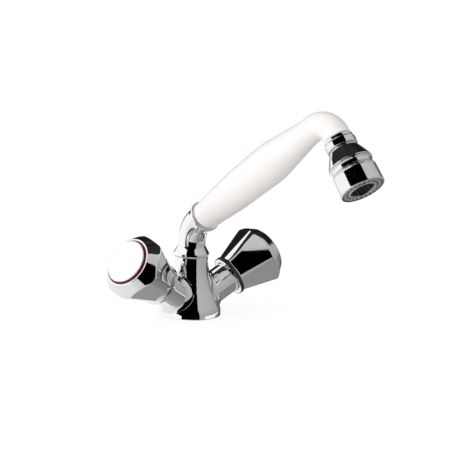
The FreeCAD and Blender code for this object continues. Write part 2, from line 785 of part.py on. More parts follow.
def spindle(side, arm):
    plate_radius = S.disc_radius
    groove_floor = S.spindle_radius - S.spindle_seal_depth
    clip_floor = S.spindle_radius - S.clip_groove_depth
    plate_top = SPINDLE_FOOT + S.spindle_plate_thickness
    corners = [
        (NIL, SPINDLE_FOOT),
        (plate_radius, SPINDLE_FOOT),
        (plate_radius, plate_top),
        (S.spindle_radius, plate_top),
    ]
    seals = []
    for turn in range(2):
        foot = plate_top + S.spindle_seal_setback + S.spindle_seal_pitch * turn
        top = foot + S.spindle_seal_width
        corners += [
            (S.spindle_radius, foot),
            (groove_floor, foot),
            (groove_floor, top),
            (S.spindle_radius, top),
        ]
        seals.append(ring(f"{side}_spindle_seal_{turn}", arm, groove_floor, S.spindle_radius,
                          foot + S.seat_gap, top - S.seat_gap))
    corners += [
        (S.spindle_radius, STEM_TOP),
        (clip_floor, STEM_TOP),
        (clip_floor, CLIP_TOP + S.seat_gap),
        (S.spindle_radius, CLIP_TOP + S.seat_gap),
        (S.spindle_radius, HUB_FOOT - S.seat_gap),
        (S.spline_radius, HUB_FOOT - S.seat_gap),
        (S.spline_radius, SPLINE_TOP),
        (NIL, SPLINE_TOP),
    ]
    stem = turned(f"{side}_spindle_stem", arm, corners)
    tongue_length = S.disc_radius * 2 - S.spindle_plate_thickness * 2
    tongue = block(f"{side}_tongue", arm, tongue_length, S.tongue_width,
                   SPINDLE_FOOT - S.tongue_depth, SPINDLE_FOOT)
    tapped = rod(f"{side}_spindle_tapping", arm, S.screw_shank_radius + S.running_gap,
                 SCREW_SEAT - S.screw_shank_length - S.free_gap, SPLINE_TOP + S.overrun)
    node(cut(f"{side}_spindle", joined(f"{side}_spindle_solid", stem, tongue), tapped))
    node(joined(f"{side}_spindle_seals", *seals))
    node(split_ring(f"{side}_spindle_clip", arm, clip_floor, S.spindle_radius + S.clip_overhang,
                    CLIP_FOOT, CLIP_TOP, S.clip_opening))
    disc = rod(f"{side}_moving_disc_blank", arm, S.disc_radius, MOVING_DISC, SPINDLE_FOOT)
    slot = block(f"{side}_disc_slot", arm, S.disc_radius * 4, S.tongue_width + S.seat_gap * 2,
                 SPINDLE_FOOT - S.tongue_depth - S.seat_gap, SPINDLE_FOOT + S.overrun)
    ports = disc_ports(f"{side}_moving", arm, MOVING_DISC, SPINDLE_FOOT)
    node(cut(f"{side}_moving_disc", disc, slot, *ports))


# Knobs: a hollow casting, turned to a double cone and then faceted with flats.

KNOB_FOOT = S.neck_end - S.skirt_overlap
LIP_TOP = KNOB_FOOT + S.lip_height
SHOULDER = KNOB_FOOT + S.shoulder_distance
FACE = KNOB_FOOT + S.knob_length
RECESS_FLOOR = FACE - S.cap_recess_depth


def knob(side, arm):
    cavity_mouth = S.neck_radius + S.skirt_gap
    cavity_front = RECESS_FLOOR - S.face_wall
    spin = FreeCAD.Placement(FreeCAD.Vector(), FreeCAD.Rotation(S.knob_rest_turn.value, 0, 0))
    body = turned(f"{side}_knob", arm * spin, [
        (cavity_mouth, KNOB_FOOT),
        (S.lip_radius, KNOB_FOOT, S.lip_edge_radius),
        (S.lip_radius, LIP_TOP, S.lip_edge_radius),
        (S.knob_root_radius, LIP_TOP),
        (S.shoulder_radius, SHOULDER, S.shoulder_edge_radius),
        (S.face_radius, FACE, S.face_edge_radius),
        (S.cap_recess_radius, FACE),
        (S.cap_recess_radius, RECESS_FLOOR),
        (S.screw_well_radius, RECESS_FLOOR),
        (S.screw_well_radius, SCREW_SEAT),
        (S.screw_shank_radius + S.seat_gap, SCREW_SEAT),
        (S.screw_shank_radius + S.seat_gap, SPLINE_TOP + S.free_gap),
        (S.spline_radius + S.running_gap, SPLINE_TOP + S.free_gap),
        (S.spline_radius + S.running_gap, HUB_FOOT),
        (S.hub_radius, HUB_FOOT),
        (S.hub_radius, cavity_front),
        (S.face_radius - S.knob_wall, cavity_front),
        (S.flat_shoulder_apothem - S.knob_wall, SHOULDER),
        (cavity_mouth, S.neck_end + S.skirt_overlap),
    ])
    rise = (S.flat_shoulder_apothem - S.flat_root_apothem) / (SHOULDER - LIP_TOP)
    flat_end = FACE + S.overrun
    flat_end_apothem = S.flat_root_apothem + rise * (flat_end - LIP_TOP)
    outside = S.shoulder_radius + S.overrun
    flat_outline = sketch_on(body, f"{side}_flat_outline", "XZ_Plane", [
        (S.flat_root_apothem, LIP_TOP),
        (outside + S.overrun, LIP_TOP),
        (outside + S.overrun, flat_end),
        (flat_end_apothem, flat_end),
    ])
    flat = body.newObject("PartDesign::Pocket", f"{side}_flat")
    flat.Profile = flat_outline
    flat.SideType = "Symmetric"
    flat.setExpression("Length", (outside * 2).text)
    body.Tip = flat
    doc.recompute()
    pattern = body.newObject("PartDesign::PolarPattern", f"{side}_flats")
    pattern.Originals = [flat]
    pattern.Axis = (flat_outline, ["V_Axis"])
    pattern.Angle = 360
    pattern.Occurrences = KNOB_FLAT_COUNT
    body.Tip = pattern
    doc.recompute()
    node(body)


def knob_trim(side, arm):
    ring_inner = S.cap_recess_radius - S.index_ring_width
    node(ring(f"{side}_index_ring", arm, ring_inner, S.cap_recess_radius, RECESS_FLOOR,
              RECESS_FLOOR + S.index_ring_rise))
    cap_radius = ring_inner - S.running_gap
    plug_foot = RECESS_FLOOR - S.cap_plug_length
    node(turned(f"{side}_cap", arm, [
        (NIL, plug_foot),
        (S.cap_plug_radius, plug_foot),
        (S.cap_plug_radius, RECESS_FLOOR),
        (cap_radius, RECESS_FLOOR),
        (cap_radius, RECESS_FLOOR + S.cap_thickness, S.cap_edge_radius),
        (NIL, RECESS_FLOOR + S.cap_thickness),
    ]))
    blank = turned(f"{side}_screw_blank", arm, [
        (NIL, SCREW_SEAT - S.screw_shank_length),
        (S.screw_shank_radius, SCREW_SEAT - S.screw_shank_length),
        (S.screw_shank_radius, SCREW_SEAT),
        (S.screw_head_radius, SCREW_SEAT),
        (S.screw_head_radius, SCREW_SEAT + S.screw_head_height),
        (NIL, SCREW_SEAT + S.screw_head_height),
    ])
    head_top = SCREW_SEAT + S.screw_head_height
    socket = hexagon(f"{side}_screw_socket", arm, S.screw_socket_radius,
                     head_top - S.screw_socket_depth, head_top + S.overrun)
    node(cut(f"{side}_knob_screw", blank, socket))


# Handset: a hollow moulded grip that bends into the neck of the spray head.

GRIP_BEND_REACH = S.grip_bend_radius * tangent(GRIP_TURN / 2)
GRIP_BEND_FOOT = S.grip_length - GRIP_BEND_REACH
SPIGOT_END = S.neck_end_distance + S.head_spigot_length
NUT_FOOT = S.neck_end_distance + S.neck_ring_height + S.free_gap
NUT_TOP = NUT_FOOT + S.nut_height
CONE_TOP = NUT_TOP + S.seat_gap
COLLAR_END = CONE_TOP + S.head_collar_length
HEAD_CLIP_FOOT = COLLAR_END + S.seat_gap * 2
HEAD_CLIP_TOP = HEAD_CLIP_FOOT + S.head_clip_thickness


def grip_profile(inset, start, end, foot):
    """Half outline of the grip, drawn in by the inset, from one height to another."""
    shaft = GRIP_BEND_FOOT
    return [
        (NIL, start),
        *foot,
        (S.grip_lower_radius - inset, shaft * S.grip_lower_share + start, shaft * S.grip_lower_curve_share),
        (S.grip_swell_radius - inset, shaft * S.grip_swell_share, shaft * S.grip_swell_curve_share),
        (S.grip_neck_radius - inset, shaft * S.grip_neck_share, shaft * S.grip_neck_curve_share),
        (S.grip_neck_radius - inset, end),
        (NIL, end),
    ]


def handle_grip():
    foot = [(S.grip_foot_radius, NIL, S.grip_foot_edge_radius)]
    shaft = turned("grip_shaft", GRIP, grip_profile(NIL, NIL, GRIP_BEND_FOOT, foot))
    bend_place = at(GRIP, z=GRIP_BEND_FOOT)
    outer_bend = bend("grip_bend", bend_place, S.grip_bend_radius, S.grip_neck_radius, GRIP_TURN)
    seal_foot = CONE_TOP + S.head_seal_setback - S.head_seal_width
    seal_floor = S.head_spigot_radius - S.head_seal_depth
    clip_floor = S.head_spigot_radius - S.head_clip_groove_depth
    spigot = turned("grip_spigot", HEAD, [
        (NIL, GRIP_BEND_REACH),
        (S.grip_neck_radius, GRIP_BEND_REACH),
        (S.grip_neck_radius, S.neck_end_distance),
        (S.head_spigot_radius, S.neck_end_distance),
        (S.head_spigot_radius, seal_foot),
        (seal_floor, seal_foot),
        (seal_floor, seal_foot + S.head_seal_width),
        (S.head_spigot_radius, seal_foot + S.head_seal_width),
        (S.head_spigot_radius, HEAD_CLIP_FOOT - S.seat_gap),
        (clip_floor, HEAD_CLIP_FOOT - S.seat_gap),
        (clip_floor, HEAD_CLIP_TOP + S.seat_gap),
        (S.head_spigot_radius, HEAD_CLIP_TOP + S.seat_gap),
        (S.head_spigot_radius, SPIGOT_END),
        (NIL, SPIGOT_END),
    ])
    socket_radius = S.connector_radius + S.seat_gap
    hollow_foot = S.connector_length
    hollow = turned("grip_hollow", GRIP, grip_profile(
        S.grip_wall, hollow_foot, GRIP_BEND_FOOT, [(socket_radius, hollow_foot)]))
    socket = rod("grip_socket", GRIP, socket_radius, -S.overrun, hollow_foot)
    bend_hollow = bend("grip_bend_hollow", bend_place, S.grip_bend_radius,
                       S.grip_neck_radius - S.grip_wall, GRIP_TURN)
    tube_socket_end = S.neck_end_distance + S.tube_socket_depth
    tube_bore = S.tube_radius - S.tube_wall
    spigot_bore = turned("grip_spigot_bore", HEAD, [
        (NIL, GRIP_BEND_REACH),
        (S.tube_radius + S.seat_gap, GRIP_BEND_REACH),
        (S.tube_radius + S.seat_gap, tube_socket_end),
        (tube_bore, tube_socket_end),
        (tube_bore, SPIGOT_END + S.overrun),
        (NIL, SPIGOT_END + S.overrun),
    ])
    solid = joined("grip_solid", shaft, outer_bend, spigot)
    node(cut("handle_grip", solid, socket, hollow, bend_hollow, spigot_bore))
    node(ring("head_seal", HEAD, seal_floor, S.head_spigot_radius, seal_foot + S.seat_gap,
              seal_foot + S.head_seal_width - S.seat_gap))
    node(split_ring("head_clip", HEAD, clip_floor, S.head_spigot_radius + S.head_clip_overhang,
                    HEAD_CLIP_FOOT, HEAD_CLIP_TOP, S.head_clip_opening))
    node(ring("neck_ring", HEAD, S.head_spigot_radius + S.running_gap, S.neck_ring_radius,
              S.neck_end_distance, S.neck_end_distance + S.neck_ring_height, S.trim_edge_radius))


def waterway():
    bore = S.tube_radius - S.tube_wall
    start = S.connector_length - S.connector_socket_depth
    end = S.neck_end_distance + S.tube_socket_depth
    bend_place = at(GRIP, z=GRIP_BEND_FOOT)
    walls, hollows = [], []
    for label, radius, group in (("wall", S.tube_radius, walls), ("bore", bore, hollows)):
        group.append(rod(f"tube_{label}", GRIP, radius, start, GRIP_BEND_FOOT))
        group.append(bend(f"tube_bend_{label}", bend_place, S.grip_bend_radius, radius, GRIP_TURN))
        group.append(rod(f"tube_end_{label}", HEAD, radius, GRIP_BEND_REACH, end))
    node(cut("waterway_tube", joined("tube_solid", *walls), *hollows))
    thread_end = -S.dock_plug_length - S.hose_thread_length
    node(turned("hose_connector", GRIP, [
        (bore, thread_end),
        (S.hose_thread_radius, thread_end),
        (S.hose_thread_radius, -S.dock_plug_length),
        (S.dock_plug_tip_radius, -S.dock_plug_length),
        (S.dock_plug_radius, NIL),
        (S.connector_radius, NIL),
        (S.connector_radius, S.connector_length),
        (S.tube_radius + S.seat_gap, S.connector_length),
        (S.tube_radius + S.seat_gap, start),
        (bore, start),
    ]))


# Spray head: a chromed cone that swivels on the grip, and a barrel that turns to change the jet.

CONE_END = CONE_TOP + S.cone_height + S.cone_land
BARREL_TOP = CONE_END + S.free_gap
BARREL_END = BARREL_TOP + S.barrel_length
SKIRT_END = CONE_END + S.skirt_length
SNAP_FOOT = CONE_END + S.snap_ring_setback
SNAP_TOP = SNAP_FOOT + S.snap_ring_thickness
SPRAY_FACE = BARREL_END - S.face_recess
SPRAY_SEAT = SPRAY_FACE - S.spray_ring_skirt
BARREL_BORE = S.skirt_radius + S.free_gap


def spray_head():
    bore = S.head_spigot_radius + S.running_gap
    node(ring("swivel_nut", HEAD, bore, S.nut_radius, NUT_FOOT, NUT_TOP, S.trim_edge_radius))
    snap_floor = S.skirt_radius - S.snap_ring_depth
    node(turned("head_cone", HEAD, [
        (bore, CONE_TOP),
        (S.cone_top_radius, CONE_TOP),
        (S.cone_waist_radius, CONE_TOP + S.cone_waist_distance, S.cone_curve_radius),
        (S.shoulder_ring_radius, CONE_TOP + S.cone_height, S.cone_edge_radius),
        (S.shoulder_ring_radius, CONE_END),
        (S.skirt_radius, CONE_END),
        (S.skirt_radius, SNAP_FOOT - S.seat_gap),
        (snap_floor, SNAP_FOOT - S.seat_gap),
        (snap_floor, SNAP_TOP + S.seat_gap),
        (S.skirt_radius, SNAP_TOP + S.seat_gap),
        (S.skirt_radius, SKIRT_END),
        (S.head_cavity_radius, SKIRT_END),
        (S.head_cavity_radius, CONE_END),
        (bore + S.head_clip_overhang * 2, COLLAR_END),
        (bore, COLLAR_END),
    ]))
    node(ring("snap_ring", HEAD, snap_floor, BARREL_BORE + S.free_gap, SNAP_FOOT, SNAP_TOP))


def spray_barrel():
    bead = S.barrel_bead_rise
    bead_end = BARREL_TOP + S.barrel_bead_height
    shoulder_end = bead_end + S.barrel_shoulder_height
    track = BARREL_BORE + S.free_gap * 2
    seat_end = SPRAY_SEAT - S.seat_gap
    seat_start = seat_end - S.spray_ring_wall
    ring_bore = S.barrel_end_radius - S.spray_ring_wall
    node(turned("spray_barrel", HEAD, [
        (BARREL_BORE, BARREL_TOP),
        (S.shoulder_ring_radius, BARREL_TOP),
        (S.shoulder_ring_radius, bead_end),
        (S.shoulder_ring_radius - bead, bead_end),
        (S.shoulder_ring_radius - bead, shoulder_end),
        (S.barrel_end_radius, BARREL_END, S.barrel_end_edge_radius),
        (ring_bore, BARREL_END),
        (ring_bore, seat_end),
        (ring_bore - S.spray_ring_wall, seat_end),
        (ring_bore - S.spray_ring_wall, seat_start),
        (BARREL_BORE, seat_start),
        (BARREL_BORE, SNAP_TOP + S.free_gap),
        (track, SNAP_TOP + S.free_gap),
        (track, SNAP_FOOT - S.free_gap),
        (BARREL_BORE, SNAP_FOOT - S.free_gap),
    ]))
    ring_radius = ring_bore - S.seat_gap
    plate_foot = SPRAY_FACE - S.spray_ring_thickness
    aerator_bore = S.aerator_ring_radius + S.seat_gap
    blank = turned("spray_ring_blank", HEAD, [
        (aerator_bore, plate_foot),
        (ring_radius - S.spray_ring_wall, plate_foot),
        (ring_radius - S.spray_ring_wall, SPRAY_SEAT),
        (ring_radius, SPRAY_SEAT),
        (ring_radius, SPRAY_FACE),
        (aerator_bore, SPRAY_FACE),
    ])
    nozzles = []
    for turn in range(NOZZLE_COUNT):
        spin = FreeCAD.Placement(FreeCAD.Vector(), FreeCAD.Rotation(360 / NOZZLE_COUNT * turn, 0, 0))
        place = at(HEAD * spin, x=S.nozzle_circle_radius)
        nozzles.append(rod(f"nozzle_{turn}", place, S.nozzle_radius, plate_foot - S.overrun,
                           SPRAY_FACE + S.overrun))
    node(cut("spray_ring", blank, *nozzles))
    disc_top = seat_start - S.seat_gap
    disc_foot = disc_top - S.diverter_disc_thickness
    disc = rod("diverter_blank", HEAD, BARREL_BORE - S.seat_gap, disc_foot, disc_top)
    ports = [rod("diverter_centre_port", HEAD, S.diverter_centre_port_radius,
                 disc_foot - S.overrun, disc_top + S.overrun)]
    for turn in range(DIVERTER_PORT_COUNT):
        spin = FreeCAD.Placement(FreeCAD.Vector(), FreeCAD.Rotation(360 / DIVERTER_PORT_COUNT * turn, 0, 0))
        place = at(HEAD * spin, x=S.diverter_port_circle_radius)
        ports.append(rod(f"diverter_port_{turn}", place, S.diverter_port_radius,
                         disc_foot - S.overrun, disc_top + S.overrun))
    node(cut("diverter_disc", disc, *ports))
    node(ring("diverter_seal", HEAD, S.head_cavity_radius, S.skirt_radius - S.seat_gap,
              SKIRT_END + S.running_gap, disc_foot))


def aerator():
    inner = S.aerator_ring_radius - S.aerator_ring_wall
    ring_foot = BARREL_END - S.aerator_ring_height
    node(ring("aerator_ring", HEAD, inner, S.aerator_ring_radius, ring_foot, BARREL_END))
    insert_top = BARREL_END - S.aerator_insert_setback
    insert_foot = insert_top - S.aerator_insert_height
    blank = rod("aerator_insert_blank", HEAD, inner - S.running_gap, insert_foot, insert_top)
    holes = []
    for circle in range(AERATOR_RING_COUNT + 1):
        spots = max(1, 6 * circle)
        for turn in range(spots):
            spin = FreeCAD.Placement(FreeCAD.Vector(), FreeCAD.Rotation(360 / spots * turn, 0, 0))
            place = at(HEAD * spin, x=S.aerator_hole_pitch * circle)
            holes.append(rod(f"aerator_hole_{circle}_{turn}", place, S.aerator_hole_radius,
                             insert_foot - S.overrun, insert_top + S.overrun))
    node(cut("aerator_insert", blank, *holes))
    node(rod("aerator_screen", HEAD, inner - S.running_gap,
             insert_foot - S.aerator_screen_thickness, insert_foot))


pillar_body()
swivel_spigot()
swivel_elbow()
for side_name, arm_place in ARMS.items():
    headwork(side_name, arm_place)
    spindle(side_name, arm_place)
    knob(side_name, arm_place)
    knob_trim(side_name, arm_place)
handle_grip()
waterway()
spray_head()
spray_barrel()
aerator()
doc.recompute()

for item in doc.Objects:
    if "Invalid" in item.State or "Error" in item.State:
        raise RuntimeError(f"{item.Label} did not build: {item.State}")
for item in NODES:
    if item.Shape.isNull() or not item.Shape.isValid():
        raise RuntimeError(f"{item.Label} has no valid solid")

os.makedirs("parts", exist_ok=True)
for item in NODES:
    item.Shape.exportStep(f"parts/{item.Label}.step")
    print(item.Label, len(item.Shape.Solids), round(item.Shape.Volume, 1))
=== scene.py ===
import json
import math

import bmesh
import bpy
from mathutils import Matrix, Vector


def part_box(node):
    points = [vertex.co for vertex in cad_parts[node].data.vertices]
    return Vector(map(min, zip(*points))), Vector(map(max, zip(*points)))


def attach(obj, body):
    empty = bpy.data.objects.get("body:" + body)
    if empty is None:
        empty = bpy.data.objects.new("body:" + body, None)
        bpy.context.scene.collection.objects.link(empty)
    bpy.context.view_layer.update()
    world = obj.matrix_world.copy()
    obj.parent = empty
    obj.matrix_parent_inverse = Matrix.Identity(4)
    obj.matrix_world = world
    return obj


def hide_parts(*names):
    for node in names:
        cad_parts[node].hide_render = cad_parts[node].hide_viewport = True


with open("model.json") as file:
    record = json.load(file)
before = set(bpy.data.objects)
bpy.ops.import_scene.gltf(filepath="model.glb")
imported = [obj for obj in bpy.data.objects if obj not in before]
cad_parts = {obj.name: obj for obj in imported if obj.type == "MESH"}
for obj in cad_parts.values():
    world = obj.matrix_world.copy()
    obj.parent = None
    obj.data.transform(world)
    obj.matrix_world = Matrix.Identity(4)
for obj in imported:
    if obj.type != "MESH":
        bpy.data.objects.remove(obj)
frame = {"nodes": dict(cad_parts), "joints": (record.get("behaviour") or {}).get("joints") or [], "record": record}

scene = bpy.context.scene
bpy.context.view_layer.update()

# Pillar body: the brass casting that stands on the sink. It is turned to a slender waist above a
# flared foot, ground, polished and chromed, with a passage for the hose bored up its middle.

UP = Vector((0, 0, 1))
smallest_gap = 1e-7


def rounded(corners, step=math.radians(6)):
    """A closed outline through corners of distance, radius and rounding, with an arc at each rounded one."""
    outline = []
    nearly_straight = math.radians(89.9)
    for index, (distance, radius, rounding) in enumerate(corners):
        here = Vector((distance, radius))
        back = (Vector(corners[index - 1][:2]) - here).normalized()
        ahead = (Vector(corners[(index + 1) % len(corners)][:2]) - here).normalized()
        half = back.angle(ahead) / 2
        if rounding == 0 or half > nearly_straight:
            outline.append((distance, radius))
            continue
        centre = here + (back + ahead).normalized() * (rounding / math.sin(half))
        start = here + back * (rounding / math.tan(half)) - centre
        turn = start.angle_signed(here + ahead * (rounding / math.tan(half)) - centre)
        count = max(2, math.ceil(abs(turn) / step))
        for part in range(count + 1):
            spoke = start.copy()
            spoke.rotate(Matrix.Rotation(-turn * part / count, 2))
            outline.append(tuple(centre + spoke))
    return outline


def straight(origin, axis):
    """A straight line to carry an outline round, with the two directions across it."""
    along = Vector(axis).normalized()
    nearly_upright = 0.99
    side = UP if abs(along.z) < nearly_upright else Vector((0, -1, 0))
    upper = (side - along * along.dot(side)).normalized()
    across = along.cross(upper)
    return lambda distance: (Vector(origin) + along * distance, upper, across)


def skin(name, outline, place, turns=144):
    """A mesh made by carrying a closed outline round a line; a radius may change with the angle."""
    spots, rings, faces = [], [], []
    for distance, radius in outline:
        centre, upper, across = place(distance)
        if not callable(radius) and radius < smallest_gap:
            rings.append([len(spots)] * turns)
            spots.append(centre)
            continue
        rings.append(range(len(spots), len(spots) + turns))
        for part in range(turns):
            angle = math.tau * part / turns
            reach = radius(angle) if callable(radius) else radius
            spots.append(centre + (upper * math.cos(angle) + across * math.sin(angle)) * reach)
    for near, far in zip(rings, rings[1:] + rings[:1]):
        for part in range(turns):
            after = (part + 1) % turns
            corners = dict.fromkeys((near[part], near[after], far[after], far[part]))
            if len(corners) > 2:
                faces.append(tuple(corners))
    return solid(name, spots, faces)


def solid(name, spots, faces):
    """An object of smooth faces, all facing outwards."""
    mesh = bpy.data.meshes.new(name)
    mesh.from_pydata(spots, [], faces)
    work = bmesh.new()
    work.from_mesh(mesh)
    bmesh.ops.remove_doubles(work, verts=work.verts, dist=smallest_gap)
    bmesh.ops.recalc_face_normals(work, faces=work.faces)
    work.to_mesh(mesh)
    work.free()
    mesh.shade_smooth()
    piece = bpy.data.objects.new(name, mesh)
    scene.collection.objects.link(piece)
    even = piece.modifiers.new("even_normals", "WEIGHTED_NORMAL")
    even.weight = 60
    return piece


def finish(name, colour, roughness, metallic=0.0):
    """A new surface finish and its shader."""
    made = bpy.data.materials.new(name)
    made.use_nodes = True
    shader = made.node_tree.nodes["Principled BSDF"]
    shader.inputs["Base Color"].default_value = (*colour, 1)
    shader.inputs["Roughness"].default_value = roughness
    shader.inputs["Metallic"].default_value = metallic
    return made, shader


def grain(made, size, detail=3.0, stretch=(1, 1, 1)):
    """Soft random grain of a given size over a finish, as the output of its noise."""
    tree = made.node_tree
    spot = tree.nodes.new("ShaderNodeTexCoord")
    scale = tree.nodes.new("ShaderNodeMapping")
    scale.inputs["Scale"].default_value = stretch
    noise = tree.nodes.new("ShaderNodeTexNoise")
    noise.inputs["Scale"].default_value = 1 / size
    noise.inputs["Detail"].default_value = detail
    tree.links.new(spot.outputs["Object"], scale.inputs["Vector"])
    tree.links.new(scale.outputs["Vector"], noise.inputs["Vector"])
    return noise.outputs["Fac"]


def vary(made, source, socket, low, high, start=0.35, end=0.65):
    """Lets a grain move one value of the shader between two limits."""
    tree = made.node_tree
    spread = tree.nodes.new("ShaderNodeMapRange")
    spread.inputs["From Min"].default_value = start
    spread.inputs["From Max"].default_value = end
    spread.inputs["To Min"].default_value = low
    spread.inputs["To Max"].default_value = high
    tree.links.new(source, spread.inputs["Value"])
    tree.links.new(spread.outputs["Result"], tree.nodes["Principled BSDF"].inputs[socket])


def relief(made, source, height, strength):
    """Raises a grain from the surface by a given height."""
    tree = made.node_tree
    bump = tree.nodes.new("ShaderNodeBump")
    bump.inputs["Distance"].default_value = height
    bump.inputs["Strength"].default_value = strength
    tree.links.new(source, bump.inputs["Height"])
    tree.links.new(bump.outputs["Normal"], tree.nodes["Principled BSDF"].inputs["Normal"])


chrome, _ = finish("polished_chrome", colour=(0.93, 0.935, 0.945), roughness=0.04, metallic=1.0)
vary(chrome, grain(chrome, size=0.03, detail=5), "Roughness", low=0.025, high=0.06)
relief(chrome, grain(chrome, size=0.006, detail=2), height=0.00002, strength=0.10)

base_radius = 0.025
foot_height = 0.0055
foot_rounding = 0.012
base_edge = 0.0006
waist_radius = 0.0143
waist_height = 0.031
waist_rounding = 0.08
pillar_top_radius = 0.0131
pillar_top_edge = 0.0005
pillar_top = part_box("slide_ring")[0].z
passage_radius = 0.008
socket_radius = 0.0096
socket_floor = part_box("swivel_spigot")[0].z
seal_clearance = 0.0001
seal_groove_width = 0.0022
seal_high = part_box("base_seal")[1]
seal_outer = seal_high.x + seal_clearance
seal_inner = seal_outer - seal_groove_width
drill_start = -0.002
pillar_turns, hole_turns = 192, 48
pillar_outline = rounded([
    (0, base_radius, base_edge),
    (foot_height, base_radius, foot_rounding),
    (waist_height, waist_radius, waist_rounding),
    (pillar_top, pillar_top_radius, pillar_top_edge),
    (pillar_top, socket_radius, 0),
    (socket_floor, socket_radius, 0),
    (socket_floor, passage_radius, 0),
    (0, passage_radius, 0),
    (0, seal_inner, 0),
    (seal_high.z, seal_inner, 0),
    (seal_high.z, seal_outer, 0),
    (0, seal_outer, 0),
], step=math.radians(1.5))
pillar = skin("pillar_body", pillar_outline, straight((0, 0, 0), UP), pillar_turns)
for mount in frame["record"]["mounts"]:
    if mount["kind"] == "threaded_hole":
        hole_radius = mount["dims"]["r_mm"] / 1000
        hole_depth = mount["dims"]["length_mm"] / 1000
        hole_line = straight((mount["pos_m"][0], mount["pos_m"][1], 0), UP)
        hole = skin("hole_" + mount["name"], [
            (drill_start, 0),
            (drill_start, hole_radius),
            (hole_depth, hole_radius),
            (hole_depth, 0),
        ], hole_line, hole_turns)
        drill = pillar.modifiers.new(mount["name"], "BOOLEAN")
        drill.object = hole
        drill.solver = "EXACT"
        bpy.context.view_layer.update()
        drilled = bpy.data.meshes.new_from_object(
            pillar.evaluated_get(bpy.context.evaluated_depsgraph_get()))
        pillar.modifiers.remove(drill)
        pillar.data = drilled
        bpy.data.objects.remove(hole)
pillar.data.name = "pillar_body"
pillar.data.materials.clear()
pillar.data.materials.append(chrome)
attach(pillar, "tap_body")
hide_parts("body_casting")

# Valve necks: two short stubs of the same casting that lean out from the pillar's foot. Each runs into
# the pillar in a swept root, and its open end is bored for the valve that screws into it.

nodes = frame["nodes"]
joints = {joint["name"]: joint for joint in frame["joints"]}
pillar_side = [spot for spot in pillar_outline if spot[1] > pillar_top_radius - pillar_top_edge]
pillar_side = sorted(pillar_side[:pillar_side.index(max(pillar_side)) + 1])
neck_radius = 0.0127
neck_wall = 0.0022
neck_edge = 0.0006
neck_straight = 0.004
neck_bore_depth = 0.012
neck_turns = 120
root_sweep = 0.0035
root_sink = 0.00002
root_pull = 0.6
root_steps = 9
search_reach = 0.05
search_rounds = 40
slope_sample = 0.0005
least_step = 1e-9


def span(node, origin, axis):
    """How far a node starts and ends along an axis, and its largest radius about it."""
    low, high, wide = math.inf, -math.inf, 0
    for vertex in nodes[node].data.vertices:
        offset = vertex.co - Vector(origin)
        along = offset.dot(axis)
        low, high = min(low, along), max(high, along)
        wide = max(wide, (offset - axis * along).length)
    return low, high, wide


def pillar_radius(height):
    """The pillar's radius at a height, from its outline."""
    if height <= pillar_side[0][0]:
        return pillar_side[0][1]
    for (low, wide), (high, narrow) in zip(pillar_side, pillar_side[1:]):
        if low <= height <= high:
            return wide + (narrow - wide) * (height - low) / max(high - low, least_step)
    return pillar_side[-1][1]


def reach_pillar(origin, axis, offset):
    """Where a line beside a neck's axis runs into the pillar."""
    inside, outside = 0.0, search_reach
    for _ in range(search_rounds):
        middle = (inside + outside) / 2
        spot = origin + axis * middle + offset
        if math.hypot(spot.x, spot.y) < pillar_radius(spot.z):
            inside = middle
        else:
            outside = middle
    return origin + axis * outside + offset


for side in ("hot", "cold"):
    neck_axis = Vector(joints[f"{side}_knob_turn"]["axis"]).normalized()
    neck_origin = Vector(joints[f"{side}_knob_turn"]["pos_m"])
    neck_end = span(f"{side}_neck_washer", neck_origin, neck_axis)[0]
    place = straight(neck_origin, neck_axis)
    _, upper, across = place(0)
    rows = [[] for _ in range(root_steps + 1)]
    for part in range(neck_turns):
        angle = math.tau * part / neck_turns
        spoke = upper * math.cos(angle) + across * math.sin(angle)
        corner = reach_pillar(neck_origin, neck_axis, spoke * neck_radius)
        landing = reach_pillar(neck_origin, neck_axis, spoke * (neck_radius + root_sweep))
        slope = ((pillar_radius(landing.z + slope_sample) - pillar_radius(landing.z - slope_sample))
                 / (2 * slope_sample))
        facing = Vector((landing.x, landing.y, 0)).normalized() - UP * slope
        facing.normalize()
        landing -= facing * root_sink
        level = corner - facing * facing.dot(corner - landing)
        start = corner + neck_axis * root_sweep
        pull = landing + (level - landing) * root_pull
        push = start + (corner - start) * root_pull
        for step in range(root_steps + 1):
            t = step / root_steps
            rows[step].append(landing * (1 - t) ** 3 + pull * 3 * t * (1 - t) ** 2
                              + push * 3 * t * t * (1 - t) + start * t ** 3)
    for distance, radius in rounded([
            (neck_end - neck_straight, neck_radius, 0),
            (neck_end, neck_radius, neck_edge),
            (neck_end, neck_radius - neck_wall, 0),
            (neck_end - neck_bore_depth, neck_radius - neck_wall, 0)]):
        centre = place(distance)[0]
        rows.append([centre + (upper * math.cos(math.tau * part / neck_turns)
                               + across * math.sin(math.tau * part / neck_turns)) * radius
                     for part in range(neck_turns)])
    spots = [spot for row in rows for spot in row]
    faces = []
    for row in range(len(rows) - 1):
        for part in range(neck_turns):
            after = (part + 1) % neck_turns
            faces.append((row * neck_turns + part, row * neck_turns + after,
                          (row + 1) * neck_turns + after, (row + 1) * neck_turns + part))
    faces.append(tuple(range(neck_turns)))
    faces.append(tuple(range((len(rows) - 1) * neck_turns, len(rows) * neck_turns)))
    neck = solid(f"{side}_valve_neck", spots, faces)
    neck.data.materials.append(chrome)
    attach(neck, "tap_body")

# Base seal: a flat rubber ring pressed into a groove under the foot, so that no water creeps below it.
# Moulded black rubber with a dull, slightly dusty skin.


def dress(made, *names):
    """Gives a finish to solids whose shape is already right."""
    for name in names:
        for place_for_finish in nodes[name].material_slots:
            place_for_finish.material = made


